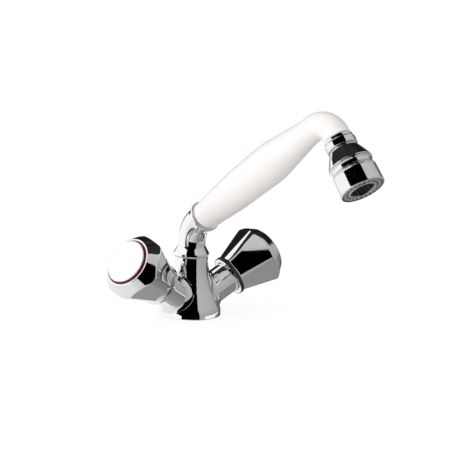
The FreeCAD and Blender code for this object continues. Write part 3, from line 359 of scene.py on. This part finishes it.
def tint(made, source, light, dark, start=0.35, end=0.65):
    """Lets a grain mix two tones of the finish's colour."""
    tree = made.node_tree
    tones = tree.nodes.new("ShaderNodeValToRGB")
    tones.color_ramp.elements[0].position = start
    tones.color_ramp.elements[0].color = (*dark, 1)
    tones.color_ramp.elements[1].position = end
    tones.color_ramp.elements[1].color = (*light, 1)
    tree.links.new(source, tones.inputs["Fac"])
    tree.links.new(tones.outputs["Color"], tree.nodes["Principled BSDF"].inputs["Base Color"])


rubber, _ = finish("black_rubber", colour=(0.02, 0.02, 0.02), roughness=0.7)
tint(rubber, grain(rubber, size=0.004, detail=4),
     light=(0.03, 0.03, 0.03), dark=(0.012, 0.012, 0.013))
vary(rubber, grain(rubber, size=0.002, detail=3), "Roughness", low=0.6, high=0.82)
relief(rubber, grain(rubber, size=0.0004, detail=2), height=0.00004, strength=0.4)
dress(rubber, "base_seal")

# Swivel spigot: a turned brass tube pressed into the pillar, on which the elbow turns. A rubber ring
# seals it and a pale plastic washer carries the elbow.

brass, _ = finish("turned_brass", colour=(0.72, 0.50, 0.22), roughness=0.25, metallic=1.0)
tint(brass, grain(brass, size=0.012, detail=4),
     light=(0.76, 0.55, 0.26), dark=(0.62, 0.42, 0.18))
vary(brass, grain(brass, size=0.003, detail=3, stretch=(1, 1, 8)), "Roughness", low=0.18, high=0.36)
relief(brass, grain(brass, size=0.0006, detail=2, stretch=(1, 1, 10)), height=0.00003, strength=0.3)
dress(brass, "swivel_spigot")
dress(rubber, "spout_seal")

pale_plastic, _ = finish("pale_plastic", colour=(0.80, 0.78, 0.72), roughness=0.45)
tint(pale_plastic, grain(pale_plastic, size=0.01, detail=3),
     light=(0.83, 0.81, 0.75), dark=(0.76, 0.74, 0.68))
vary(pale_plastic, grain(pale_plastic, size=0.004, detail=3), "Roughness", low=0.38, high=0.55)
relief(pale_plastic, grain(pale_plastic, size=0.0008, detail=2), height=0.00003, strength=0.3)
dress(pale_plastic, "slide_ring")

# Valves: a brass headwork in each neck holds two ceramic discs, lapped flat, that slide over each other
# as the knob turns its spindle. A fibre washer, a rubber seat and two rings keep the water in.

ceramic, _ = finish("lapped_ceramic", colour=(0.86, 0.85, 0.82), roughness=0.18)
tint(ceramic, grain(ceramic, size=0.003, detail=4),
     light=(0.89, 0.88, 0.85), dark=(0.82, 0.81, 0.78))
vary(ceramic, grain(ceramic, size=0.001, detail=2), "Roughness", low=0.12, high=0.26)
fibre, _ = finish("red_fibre", colour=(0.34, 0.10, 0.07), roughness=0.8)
tint(fibre, grain(fibre, size=0.0012, detail=5),
     light=(0.40, 0.13, 0.09), dark=(0.25, 0.07, 0.05))
relief(fibre, grain(fibre, size=0.0005, detail=4), height=0.00006, strength=0.5)
steel, _ = finish("bright_steel", colour=(0.62, 0.63, 0.64), roughness=0.25, metallic=1.0)
vary(steel, grain(steel, size=0.002, detail=3), "Roughness", low=0.18, high=0.35)
relief(steel, grain(steel, size=0.0005, detail=2), height=0.00002, strength=0.2)
for side in ("hot", "cold"):
    dress(brass, f"{side}_headwork", f"{side}_spindle")
    dress(ceramic, f"{side}_fixed_disc", f"{side}_moving_disc")
    dress(fibre, f"{side}_neck_washer")
    dress(rubber, f"{side}_seat_seal", f"{side}_spindle_seals")
    dress(steel, f"{side}_spindle_clip", f"{side}_knob_screw")

# Knobs: hollow zinc castings, turned to a double cone and cut with six flats, so that narrow ridges are
# left between them, then polished over and chromed. A screw in the hub holds each on its spindle, and a
# thin ring is pressed round its lip, bright chrome on the hot knob. On the cold one the ring is given black
# rubber as a painted dark reflection, the black band that the chrome lip mirrors there.

flat_count = 6
lip_radius = 0.0168
lip_height = 0.0034
lip_edge = 0.00045
lip_ring_wall = 0.0005
lip_ring_inset = 0.0003
root_radius = 0.0159
shoulder_radius = 0.0256
shoulder_share = 0.787
face_radius = 0.0189
face_edge = 0.0007
recess_radius = 0.0176
recess_depth = 0.0012
recess_edge = 0.0002
flat_root = 0.0151
flat_shoulder = 0.0234
flat_turns = {"hot": math.radians(-16), "cold": math.radians(-9.5)}
polish_softness = 0.0004
shoulder_softness = 0.0009
knob_wall = 0.0034
hub_radius = 0.0075
well_radius = 0.005
screw_head_height = 0.003
screw_hole_radius = 0.0021
spindle_bore = 0.00395
spindle_clearance = 0.0003
hub_clearance = 0.0018
mouth_clearance = 0.0005
mouth_depth = 0.0112
knob_turns = 360
row_pitch = 0.0006
mouth_radius = neck_radius + mouth_clearance


def softer_least(first, second, softness):
    """The smaller of two sizes, eased over where they are nearly the same."""
    near = max(softness - abs(first - second), 0) / softness
    return min(first, second) - near * near * softness / 4


# The cold knob's lip ring takes black rubber as a painted dark reflection; the hot knob's ring stays chrome.
for side, lip_chrome_or_painted_reflection, ring_slot in (("hot", chrome, "chrome"), ("cold", rubber, "rubber")):
    knob_axis = Vector(joints[f"{side}_knob_turn"]["axis"]).normalized()
    knob_origin = Vector(joints[f"{side}_knob_turn"]["pos_m"])
    knob_foot, knob_face, _ = span(f"{side}_knob", knob_origin, knob_axis)
    lip_top = knob_foot + lip_height
    shoulder = knob_foot + (knob_face - knob_foot) * shoulder_share
    recess_floor = knob_face - recess_depth
    spindle_top = span(f"{side}_spindle", knob_origin, knob_axis)[1] + spindle_clearance
    hub_foot = span(f"{side}_spindle_clip", knob_origin, knob_axis)[1] + hub_clearance
    screw_seat = span(f"{side}_knob_screw", knob_origin, knob_axis)[1] - screw_head_height
    back_slope = (shoulder_radius - root_radius) / (shoulder - lip_top)
    front_slope = (face_radius - shoulder_radius) / (knob_face - shoulder)
    flat_slope = (flat_shoulder - flat_root) / (shoulder - lip_top)
    bevel_end = knob_face - 2 * face_edge
    bevel_end_radius = face_radius - 2 * face_edge * front_slope

    def facet(distance, lip_top=lip_top, shoulder=shoulder, back_slope=back_slope,
              front_slope=front_slope, flat_slope=flat_slope, flat_turn=flat_turns[side]):
        """The knob's radius round one section, where its cone is cut by the flats."""
        cone = softer_least(root_radius + (distance - lip_top) * back_slope,
                            shoulder_radius + (distance - shoulder) * front_slope, shoulder_softness)
        flat = flat_root + (distance - lip_top) * flat_slope
        sector = math.tau / flat_count

        def radius(angle):
            off = (angle - flat_turn + sector / 2) % sector - sector / 2
            return softer_least(cone, flat / math.cos(off), polish_softness)
        return radius

    lip = rounded([
        (knob_foot, mouth_radius, 0),
        (knob_foot, lip_radius - lip_ring_wall, lip_ring_inset),
        (lip_top, lip_radius - lip_ring_wall, lip_ring_inset),
        (lip_top, flat_root, 0),
    ])[:-1]
    rows = math.ceil((bevel_end - lip_top) / row_pitch)
    heights = [lip_top + (bevel_end - lip_top) * row / rows for row in range(rows + 1)]
    facets = [(height, facet(height)) for height in heights]
    front = rounded([
        (bevel_end, bevel_end_radius, 0),
        (knob_face, face_radius, face_edge),
        (knob_face, recess_radius, recess_edge),
        (recess_floor, recess_radius, 0),
        (recess_floor, well_radius, 0),
        (screw_seat, well_radius, 0),
        (screw_seat, screw_hole_radius, 0),
        (spindle_top, screw_hole_radius, 0),
        (spindle_top, spindle_bore, 0),
        (hub_foot, spindle_bore, 0),
        (hub_foot, hub_radius, 0),
        (recess_floor - knob_wall, hub_radius, 0),
        (recess_floor - knob_wall, face_radius - knob_wall, 0),
        (shoulder, flat_shoulder - knob_wall, 0),
        (knob_foot + mouth_depth, mouth_radius, 0),
    ])[1:]
    knob = skin(f"{side}_knob_casting", lip + facets + front, straight(knob_origin, knob_axis), knob_turns)
    knob.data.materials.append(chrome)
    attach(knob, f"{side}_knob")
    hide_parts(f"{side}_knob")
    lip_ring = skin(f"{side}_lip_ring", rounded([
        (knob_foot, lip_radius - lip_ring_wall, 0),
        (knob_foot, lip_radius, lip_edge),
        (lip_top - lip_ring_inset, lip_radius, lip_edge),
        (lip_top - lip_ring_inset, lip_radius - lip_ring_wall, 0),
    ]), straight(knob_origin, knob_axis))
    lip_ring.data.materials.append(lip_chrome_or_painted_reflection)
    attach(lip_ring, f"{side}_knob")

# Index rings and caps: a coloured plastic ring, red for hot and blue for cold, lies in the recess of
# each knob's face. A white moulded cap with a faint crown and a thin bright band snaps in over the screw.

red_plastic, _ = finish("dark_red_plastic", colour=(0.16, 0.012, 0.025), roughness=0.2)
vary(red_plastic, grain(red_plastic, size=0.003, detail=3), "Roughness", low=0.14, high=0.28)
blue_plastic, _ = finish("dark_blue_plastic", colour=(0.012, 0.03, 0.18), roughness=0.2)
vary(blue_plastic, grain(blue_plastic, size=0.003, detail=3), "Roughness", low=0.14, high=0.28)
white_cap, _ = finish("white_cap_plastic", colour=(0.88, 0.88, 0.87), roughness=0.18)
tint(white_cap, grain(white_cap, size=0.02, detail=3),
     light=(0.89, 0.89, 0.88), dark=(0.86, 0.86, 0.85))
vary(white_cap, grain(white_cap, size=0.006, detail=3), "Roughness", low=0.12, high=0.24)
relief(white_cap, grain(white_cap, size=0.0015, detail=2), height=0.00001, strength=0.2)
ring_width = 0.0012
ring_rise = 0.001
ring_edge = 0.0004
cap_thickness = 0.0036
cap_clearance = 0.00005
cap_crown = 0.0003
crown_share = 0.93
crown_drop = 1.15
crown_steps = 8
cap_edge = 0.0005
band_wall = 0.0003
band_edge = 0.0001
cap_plug_radius = 0.0048
cap_plug_length = 0.002
for side, tone, tone_slot in (("hot", red_plastic, "red_index"), ("cold", blue_plastic, "blue_index")):
    knob_axis = Vector(joints[f"{side}_knob_turn"]["axis"]).normalized()
    knob_origin = Vector(joints[f"{side}_knob_turn"]["pos_m"])
    recess_floor, _, ring_outer = span(f"{side}_index_ring", knob_origin, knob_axis)
    ring_inner = ring_outer - ring_width
    line = straight(knob_origin, knob_axis)
    index_ring = skin(f"{side}_colour_ring", rounded([
        (recess_floor, ring_outer, 0),
        (recess_floor + ring_rise, ring_outer, ring_edge),
        (recess_floor + ring_rise, ring_inner, ring_edge),
        (recess_floor, ring_inner, 0),
    ]), line)
    index_ring.data.materials.append(tone)
    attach(index_ring, f"{side}_knob")
    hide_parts(f"{side}_index_ring")
    cap_radius = ring_inner - cap_clearance - band_wall
    cap_top = recess_floor + cap_thickness
    band_top = cap_top - cap_crown - cap_edge
    band = skin(f"{side}_cap_band", rounded([
        (recess_floor + ring_rise, cap_radius, 0),
        (recess_floor + ring_rise, cap_radius + band_wall, 0),
        (band_top, cap_radius + band_wall, band_edge),
        (band_top, cap_radius, 0),
    ]), line)
    band.data.materials.append(chrome)
    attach(band, f"{side}_knob")
    crown = [(cap_top - cap_crown * (part / crown_steps) ** 2, cap_radius * crown_share * part / crown_steps)
             for part in range(crown_steps + 1)]
    cap = skin(f"{side}_white_cap", crown + rounded([
        crown[-1] + (0,),
        (cap_top - cap_crown * crown_drop, cap_radius, cap_edge),
        (recess_floor, cap_radius, 0),
        (recess_floor, cap_plug_radius, 0),
        (recess_floor - cap_plug_length, cap_plug_radius, 0),
        (recess_floor - cap_plug_length, 0, 0),
    ])[1:], line)
    cap.data.materials.append(white_cap)
    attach(cap, f"{side}_knob")
    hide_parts(f"{side}_cap")

# Elbow: a chromed brass bend with a flared collar that turns on the pillar and a flared cup, lined with
# pale plastic, that the handle docks in. A small grub screw behind the collar limits its swing.

dress(chrome, "swivel_elbow")
dress(pale_plastic, "dock_liner")
dress(steel, "swivel_stop_screw")

# Handle: the part one holds and pulls out, a hollow shell moulded in warm white plastic. It swells in
# the middle, narrows to a neck and bends down to the spray head. A brass connector for the hose screws
# into its foot, and a plastic tube leads the water through it.

grip_white, grip_shader = finish("white_grip_plastic", colour=(0.87, 0.86, 0.845), roughness=0.3)
grip_shader.inputs["Specular IOR Level"].default_value = 0.15
tint(grip_white, grain(grip_white, size=0.05, detail=2),
     light=(0.872, 0.857, 0.847), dark=(0.868, 0.852, 0.841))
vary(grip_white, grain(grip_white, size=0.01, detail=4), "Roughness", low=0.27, high=0.31)
head_corner = Vector(joints["head_swivel"]["pos_m"])
head_axis = Vector(joints["head_swivel"]["axis"]).normalized()
handle_axis = Vector(joints["handset_pull"]["axis"]).normalized()
ACROSS = Vector((1, 0, 0))
grip_length = -span("handle_grip", head_corner, handle_axis)[0]
grip_foot = head_corner - handle_axis * grip_length
bend_radius = 0.0165
bend_turn = handle_axis.angle(head_axis)
bend_reach = bend_radius * math.tan(bend_turn / 2)
shaft_length = grip_length - bend_reach
bend_length = bend_radius * bend_turn
bend_inward = (head_axis - handle_axis * handle_axis.dot(head_axis)).normalized()


def along_grip(distance):
    """The grip's middle line: a straight shaft, an even bend, then the neck towards the spray head."""
    if distance <= shaft_length:
        centre, ahead = grip_foot + handle_axis * distance, handle_axis
    elif distance >= shaft_length + bend_length:
        past = distance - shaft_length - bend_length
        centre, ahead = head_corner + head_axis * (bend_reach + past), head_axis
    else:
        turn = (distance - shaft_length) / bend_radius
        ahead = handle_axis * math.cos(turn) + bend_inward * math.sin(turn)
        centre = (grip_foot + handle_axis * (shaft_length + bend_radius * math.sin(turn))
                  + bend_inward * bend_radius * (1 - math.cos(turn)))
    return centre, ACROSS, ahead.cross(ACROSS)


def from_corner(distance):
    """A distance along the spray head's axis, turned into one along the grip."""
    return shaft_length + bend_length - bend_reach + distance


def finer(outline, longest):
    """The same outline with its long runs divided."""
    fine = []
    for (near, wide), (far, narrow) in zip(outline, outline[1:] + outline[:1]):
        count = max(1, math.ceil(abs(far - near) / longest))
        fine += [(near + (far - near) * part / count, wide + (narrow - wide) * part / count)
                 for part in range(count)]
    return fine


grip_foot_radius = 0.0112
grip_foot_edge = 0.0007
grip_lower_radius = 0.014
grip_swell_radius = 0.0148
grip_neck_radius = 0.0092
grip_wall = 0.0025
lower_share, swell_share, neck_share = 0.315, 0.645, 0.952
lower_curve, swell_curve, neck_curve = 1.5, 0.675, 0.45
socket_wall = 0.0022
connector_length = 0.022
grip_neck_end = span("neck_ring", head_corner, head_axis)[0]
spigot_radius = 0.0076
spigot_bore = 0.0046
spigot_end = span("handle_grip", head_corner, head_axis)[1]
tube_radius = 0.0061
grip_row = 0.0015
grip_turns = 128
tube_end = span("waterway_tube", head_corner, head_axis)[1]
grip_outline = rounded([
    (0, grip_foot_radius, grip_foot_edge),
    (shaft_length * lower_share, grip_lower_radius, shaft_length * lower_curve),
    (shaft_length * swell_share, grip_swell_radius, shaft_length * swell_curve),
    (shaft_length * neck_share, grip_neck_radius, shaft_length * neck_curve),
    (from_corner(grip_neck_end), grip_neck_radius, 0),
    (from_corner(grip_neck_end), spigot_radius, 0),
    (from_corner(spigot_end), spigot_radius, 0),
    (from_corner(spigot_end), spigot_bore, 0),
    (from_corner(tube_end), spigot_bore, 0),
    (from_corner(tube_end), tube_radius, 0),
    (from_corner(bend_reach), tube_radius, 0),
    (from_corner(bend_reach), grip_neck_radius - grip_wall, 0),
    (shaft_length * neck_share, grip_neck_radius - grip_wall, 0),
    (shaft_length * swell_share, grip_swell_radius - grip_wall, 0),
    (connector_length, grip_foot_radius - socket_wall, 0),
    (0, grip_foot_radius - socket_wall, 0),
], step=math.radians(0.5))
grip = skin("handle_shell", finer(grip_outline, grip_row), along_grip, grip_turns)
grip.data.materials.append(grip_white)
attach(grip, "handset")
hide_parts("handle_grip")
dress(brass, "hose_connector")
dress(pale_plastic, "waterway_tube")

# End ring and swivel nut: a thin bright ring covers the end of the handle's neck, and below it a
# chromed plastic nut turns with the spray head. Behind the nut a wire clip holds the head on and a rubber
# ring seals it.

plated, _ = finish("plated_plastic", colour=(0.90, 0.905, 0.915), roughness=0.06, metallic=1.0)
vary(plated, grain(plated, size=0.02, detail=4), "Roughness", low=0.03, high=0.08)
relief(plated, grain(plated, size=0.004, detail=2), height=0.00002, strength=0.04)
head_line = straight(head_corner, head_axis)
nut_clearance = 0.00005
nut_bore = spigot_radius + nut_clearance
trim_edge = 0.0006
for node, part_name, body in (("neck_ring", "end_ring", "handset"),
                              ("swivel_nut", "head_nut", "spray_head")):
    ring_foot, ring_top, ring_radius = span(node, head_corner, head_axis)
    ring = skin(part_name, rounded([
        (ring_foot, nut_bore, 0),
        (ring_foot, ring_radius, trim_edge),
        (ring_top, ring_radius, trim_edge),
        (ring_top, nut_bore, 0),
    ]), head_line)
    ring.data.materials.append(plated)
    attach(ring, body)
    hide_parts(node)
dress(steel, "head_clip")
dress(rubber, "head_seal")

# Head cone: the upper half of the spray head, moulded and plated. It opens in a straight taper as wide
# as the barrel, and its skirt reaches into the barrel, where a snap ring holds the two together.

cone_start, skirt_end, cone_radius = span("head_cone", head_corner, head_axis)
barrel_start, barrel_end, barrel_radius = span("spray_barrel", head_corner, head_axis)
cone_gap = 0.0003
cone_end = barrel_start - cone_gap
cone_top_radius = 0.0093
cone_waist_radius = 0.0128
cone_waist_depth = 0.0066
cone_waist = cone_start + cone_waist_depth
cone_curve = 0.06
cone_top_edge = 0.0003
cone_edge = 0.0005
skirt_radius = 0.0136
cavity_radius = 0.012
cavity_top_depth = 0.0068
cavity_top = cone_start + cavity_top_depth
cavity_top_width = 0.0032
head_cone = skin("head_cone_shell", rounded([
    (cone_start, nut_bore, 0),
    (cone_start, cone_top_radius, cone_top_edge),
    (cone_waist, cone_waist_radius, cone_curve),
    (cone_end, cone_radius, cone_edge),
    (cone_end, skirt_radius, 0),
    (skirt_end, skirt_radius, 0),
    (skirt_end, cavity_radius, 0),
    (cone_end, cavity_radius, 0),
    (cavity_top, nut_bore + cavity_top_width, 0),
    (cavity_top, nut_bore, 0),
], step=math.radians(3)), head_line)
head_cone.data.materials.append(plated)
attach(head_cone, "spray_head")
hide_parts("head_cone")
dress(steel, "snap_ring")

# Spray barrel: the lower half of the head, moulded and plated, with a groove between two sloping beads at
# its top and a lower edge that is rounded over the spray face. It is turned by hand to change the jet, and
# a plastic disc with a rubber seal inside it leads the water.

bead_slope = 0.9
bead_height = 0.0014
groove_height = 0.0038
groove_depth = bead_height * bead_slope
bead_rise = 0.0003
bead_edge = 0.0003
bead_foot_edge = 0.0001
groove_edge = 0.0002
barrel_edge = 0.0011
groove_start = barrel_start + bead_height
groove_end = groove_start + groove_height
beads_end = groove_end + bead_height
skirt_clearance = 0.0003
barrel_wall = 0.0012
seat_width = 0.0012
face_clearance = 0.0001
barrel_bore = skirt_radius + skirt_clearance
face_bore = barrel_radius - barrel_wall
face_seat = span("spray_ring", head_corner, head_axis)[0] - face_clearance
barrel = skin("barrel_shell", rounded([
    (barrel_start, barrel_bore, 0),
    (barrel_start, barrel_radius, bead_edge),
    (groove_start, barrel_radius - groove_depth, groove_edge),
    (groove_end, barrel_radius - groove_depth, groove_edge),
    (groove_end, barrel_radius, bead_edge),
    (beads_end, barrel_radius - groove_depth, bead_foot_edge),
    (beads_end, barrel_radius - bead_rise, groove_edge),
    (barrel_end, barrel_radius, barrel_edge),
    (barrel_end, face_bore, 0),
    (face_seat, face_bore, 0),
    (face_seat, face_bore - seat_width, 0),
    (face_seat - barrel_wall, face_bore - seat_width, 0),
    (face_seat - barrel_wall, barrel_bore, 0),
]), head_line)
barrel.data.materials.append(plated)
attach(barrel, "spray_barrel")
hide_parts("spray_barrel")
dress(pale_plastic, "diverter_disc")
dress(rubber, "diverter_seal")

# Spray face: a grey moulded ring set in the barrel's end, with a circle of short soft nozzles that can
# be rubbed clean of lime.

face_grey, _ = finish("grey_spray_face", colour=(0.10, 0.105, 0.14), roughness=0.4)
tint(face_grey, grain(face_grey, size=0.003, detail=3),
     light=(0.11, 0.115, 0.155), dark=(0.09, 0.095, 0.125))
vary(face_grey, grain(face_grey, size=0.001, detail=3), "Roughness", low=0.3, high=0.5)
nozzle_grey, _ = finish("pale_nozzle_rubber", colour=(0.42, 0.43, 0.45), roughness=0.55)
vary(nozzle_grey, grain(nozzle_grey, size=0.001, detail=3), "Roughness", low=0.45, high=0.65)
nozzle_count = 24
nozzle_circle = 0.0122
nozzle_base = 0.0010
nozzle_tip = 0.0007
nozzle_hole = 0.0004
nozzle_root = 0.0005
nozzle_reach = 0.0005
nozzle_edge = 0.0002
nozzle_hole_edge = 0.0001
nozzle_turns = 20
spray_top, spray_face, spray_radius = span("spray_ring", head_corner, head_axis)
aerator_top, aerator_end, aerator_radius = span("aerator_ring", head_corner, head_axis)
spray_plate_thickness = 0.0027
spray_plate = spray_face - spray_plate_thickness
spray_wall = 0.0012
spray_edge = 0.0002
aerator_clearance = 0.0001
aerator_hole = aerator_radius + aerator_clearance
spray_ring = skin("spray_face_ring", rounded([
    (spray_top, spray_radius, 0),
    (spray_face, spray_radius, spray_edge),
    (spray_face, aerator_hole, spray_edge),
    (spray_plate, aerator_hole, 0),
    (spray_plate, spray_radius - spray_wall, 0),
    (spray_top, spray_radius - spray_wall, 0),
]), head_line)
spray_ring.data.materials.append(face_grey)
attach(spray_ring, "spray_barrel")
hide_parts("spray_ring")
nozzle_height = min(nozzle_reach, barrel_end - spray_face)
_, head_upper, head_across = head_line(0)
for part in range(nozzle_count):
    angle = math.tau * part / nozzle_count
    root = head_corner + (head_upper * math.cos(angle) + head_across * math.sin(angle)) * nozzle_circle
    nozzle = skin(f"nozzle_{part + 1:02d}", rounded([
        (spray_face - nozzle_root, nozzle_base, 0),
        (spray_face, nozzle_base, 0),
        (spray_face + nozzle_height, nozzle_tip, nozzle_edge),
        (spray_face + nozzle_height, nozzle_hole, nozzle_hole_edge),
        (spray_face - nozzle_root, nozzle_hole, 0),
    ], step=math.radians(30)), straight(root, head_axis), nozzle_turns)
    nozzle.data.materials.append(nozzle_grey)
    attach(nozzle, "spray_barrel")

# Aerator: a thin plated ring in the middle of the spray face holds a black pierced insert, with a
# fine steel screen behind it, which mixes air into the plain jet.

black_plastic, black_shader = finish("black_plastic", colour=(0.004, 0.004, 0.0045), roughness=0.5)
black_shader.inputs["Specular IOR Level"].default_value = 0.2
vary(black_plastic, grain(black_plastic, size=0.002, detail=3), "Roughness", low=0.3, high=0.5)
dress(black_plastic, "aerator_insert")
dress(steel, "aerator_screen")
aerator_wall = 0.0016
aerator_edge = 0.0004
aerator_ring = skin("aerator_rim", rounded([
    (aerator_top, aerator_radius, 0),
    (aerator_end, aerator_radius, aerator_edge),
    (aerator_end, aerator_radius - aerator_wall, aerator_edge),
    (aerator_top, aerator_radius - aerator_wall, 0),
]), head_line)
aerator_ring.data.materials.append(plated)
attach(aerator_ring, "spray_barrel")
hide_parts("aerator_ring")

# Studio: a matt white floor, a white backdrop and one soft light from the left. Dark and pale cards stand
# round the object, and two small dark ones hang about the spray head. Only bright surfaces mirror them.

floor_half = 6.0
floor_drop = 0.0002
floor_brightness = 1.09
floor_glow_share = 0.8
floor_mesh = bpy.data.meshes.new("floor")
floor_mesh.from_pydata([(-floor_half, -floor_half, 0), (floor_half, -floor_half, 0),
                        (floor_half, floor_half, 0), (-floor_half, floor_half, 0)], [], [(0, 1, 2, 3)])
floor = bpy.data.objects.new("floor", floor_mesh)
floor.location.z = -floor_drop
scene.collection.objects.link(floor)
floor_white, floor_shader = finish("floor_white", colour=(0.92, 0.92, 0.92), roughness=0.12)
floor_shader.inputs["Specular IOR Level"].default_value = 0
floor_tree = floor_white.node_tree
floor_glow = floor_tree.nodes.new("ShaderNodeEmission")
floor_glow.inputs["Strength"].default_value = floor_brightness
floor_rays = floor_tree.nodes.new("ShaderNodeLightPath")
floor_seen = floor_tree.nodes.new("ShaderNodeMath")
floor_seen.operation = "MAXIMUM"
floor_share = floor_tree.nodes.new("ShaderNodeMath")
floor_share.operation = "MULTIPLY"
floor_share.inputs[1].default_value = floor_glow_share
floor_mix = floor_tree.nodes.new("ShaderNodeMixShader")
floor_tree.links.new(floor_rays.outputs["Is Camera Ray"], floor_seen.inputs[0])
floor_tree.links.new(floor_rays.outputs["Is Glossy Ray"], floor_seen.inputs[1])
floor_tree.links.new(floor_seen.outputs[0], floor_share.inputs[0])
floor_tree.links.new(floor_share.outputs[0], floor_mix.inputs[0])
floor_tree.links.new(floor_shader.outputs[0], floor_mix.inputs[1])
floor_tree.links.new(floor_glow.outputs[0], floor_mix.inputs[2])
floor_tree.links.new(floor_mix.outputs[0], floor_tree.nodes["Material Output"].inputs[0])
floor_mesh.materials.append(floor_white)
floor.visible_glossy = False

room_light, backdrop_light = 0.74, 1.0
room_tone, backdrop_tone = (1.0, 0.94, 0.925, 1), (1, 1, 1, 1)
world = bpy.data.worlds.new("studio")
scene.world = world
world.use_nodes = True
world_tree = world.node_tree
backdrop = world_tree.nodes["Background"]
rays = world_tree.nodes.new("ShaderNodeLightPath")
seen = rays.outputs["Is Camera Ray"]
for kind in ("Is Glossy Ray", "Is Transmission Ray"):
    either = world_tree.nodes.new("ShaderNodeMath")
    either.operation = "MAXIMUM"
    world_tree.links.new(seen, either.inputs[0])
    world_tree.links.new(rays.outputs[kind], either.inputs[1])
    seen = either.outputs[0]
brightness = world_tree.nodes.new("ShaderNodeMapRange")
brightness.inputs["To Min"].default_value = room_light
brightness.inputs["To Max"].default_value = backdrop_light
world_tree.links.new(seen, brightness.inputs["Value"])
world_tree.links.new(brightness.outputs["Result"], backdrop.inputs["Strength"])
warmth = world_tree.nodes.new("ShaderNodeMixRGB")
warmth.inputs["Color1"].default_value = room_tone
warmth.inputs["Color2"].default_value = backdrop_tone
world_tree.links.new(seen, warmth.inputs["Fac"])
world_tree.links.new(warmth.outputs["Color"], backdrop.inputs["Color"])

lamp = bpy.data.lights.new("soft_light", "AREA")
lamp.shape = "DISK"
lamp.size = 0.9
lamp.energy = 8.0
lamp.color = (0.95, 1.0, 1.02)
soft_light = bpy.data.objects.new("soft_light", lamp)
lamp_spot = Vector((-1.25, 0.0, 0.47))
lamp_aim = Vector((0, -0.07, 0.08))
soft_light.location = lamp_spot
soft_light.rotation_euler = (lamp_aim - lamp_spot).to_track_quat("-Z", "Y").to_euler()
soft_light.visible_glossy = False
scene.collection.objects.link(soft_light)

camera_spot = Vector((-0.47839, -0.60844, 0.18435))
camera_aim = Vector((0.02585, -0.02134, 0.06419))
camera_roll = math.radians(2.616)
lens = bpy.data.cameras.new("camera")
lens.sensor_width = 36.0
lens.lens = 76.565
camera = bpy.data.objects.new("camera", lens)
camera.matrix_world = (Matrix.Translation(camera_spot)
                       @ (camera_aim - camera_spot).to_track_quat("-Z", "Y").to_matrix().to_4x4()
                       @ Matrix.Rotation(camera_roll, 4, "Z"))
scene.collection.objects.link(camera)
scene.camera = camera
scene.view_settings.view_transform = "Standard"
view_side = -40.7


def card(name, corners, distance=1.6, parts=12, middle=Vector()):
    """A curved card round a point, from four corners of angle from the view, height angle and tone."""
    spots, tones, faces = [], [], []
    for row in range(parts + 1):
        for part in range(parts + 1):
            u, v = part / parts, row / parts
            shares = ((1 - u) * (1 - v), u * (1 - v), u * v, (1 - u) * v)
            turn, rise, tone = (sum(share * corner[item] for share, corner in zip(shares, corners))
                                for item in range(3))
            turn, rise = math.radians(turn + view_side), math.radians(rise)
            level = Vector((math.sin(turn), -math.cos(turn), 0))
            spots.append(middle + (level * math.cos(rise) + UP * math.sin(rise)) * distance)
            tones.append(tone)
    for row in range(parts):
        for part in range(parts):
            first = row * (parts + 1) + part
            faces.append((first, first + 1, first + parts + 2, first + parts + 1))
    mesh = bpy.data.meshes.new(name)
    mesh.from_pydata(spots, [], faces)
    mesh.attributes.new("tone", "FLOAT", "POINT").data.foreach_set("value", tones)
    paper = bpy.data.materials.new(name)
    paper.use_nodes = True
    tree = paper.node_tree
    tree.nodes.clear()
    glow = tree.nodes.new("ShaderNodeEmission")
    shade = tree.nodes.new("ShaderNodeAttribute")
    shade.attribute_name = "tone"
    out = tree.nodes.new("ShaderNodeOutputMaterial")
    tree.links.new(shade.outputs["Fac"], glow.inputs["Strength"])
    tree.links.new(glow.outputs[0], out.inputs[0])
    mesh.materials.append(paper)
    panel = bpy.data.objects.new(name, mesh)
    panel.visible_camera = False
    panel.visible_diffuse = False
    panel.visible_shadow = False
    panel.visible_transmission = False
    scene.collection.objects.link(panel)


black, near_black, charcoal, pale = 0.0, 0.01, 0.02, 0.9
head_dark = 0.025
head_card_distance = 0.2
card("front_dark", [(-22, -15, black), (42, -15, black), (40, 34, black), (-66, 19, black)])
card("front_dark_high", [(-66, 19, black), (40, 34, black), (30, 64, black), (-26, 62, black)])
card("right_grey", [(42, -15, 0.38), (130, -8, 0.3), (122, 64, 0.6), (31, 64, 0.55)])
card("back_right_low", [(130, -15, 0.25), (163, -12, 0.06), (163, 34, near_black), (126, 30, 0.2)])
card("back_right_dark",
     [(126, 30, near_black), (163, 34, near_black), (163, 66, near_black), (122, 64, near_black)])
card("back_dark", [(163, -3, near_black), (212, -3, near_black), (212, 66, charcoal), (163, 66, near_black)])
card("left_dark",
     [(-152, -1, head_dark), (-114, 3, head_dark), (-78, 52, head_dark), (-152, 45, head_dark)],
     distance=head_card_distance, middle=head_corner)
card("left_dark_high",
     [(-152, 44, head_dark), (-78, 51, head_dark), (-70, 66, head_dark), (-152, 66, head_dark)],
     distance=head_card_distance, middle=head_corner)
card("ceiling", [(-180, 64, charcoal), (180, 64, charcoal), (180, 89.9, charcoal), (-180, 89.9, charcoal)],
     distance=1.7, parts=36)
card("floor_front", [(-28, -85, 0.7), (42, -85, 0.4), (42, -15, 0.3), (-22, -15, 0.75)])
card("floor_right", [(42, -85, 0.25), (170, -85, 0.5), (165, -12, 0.06), (42, -15, 0.28)])
card("floor_left", [(-190, -85, pale), (-28, -85, 0.7), (-22, -15, 0.8), (-190, -15, pale)])
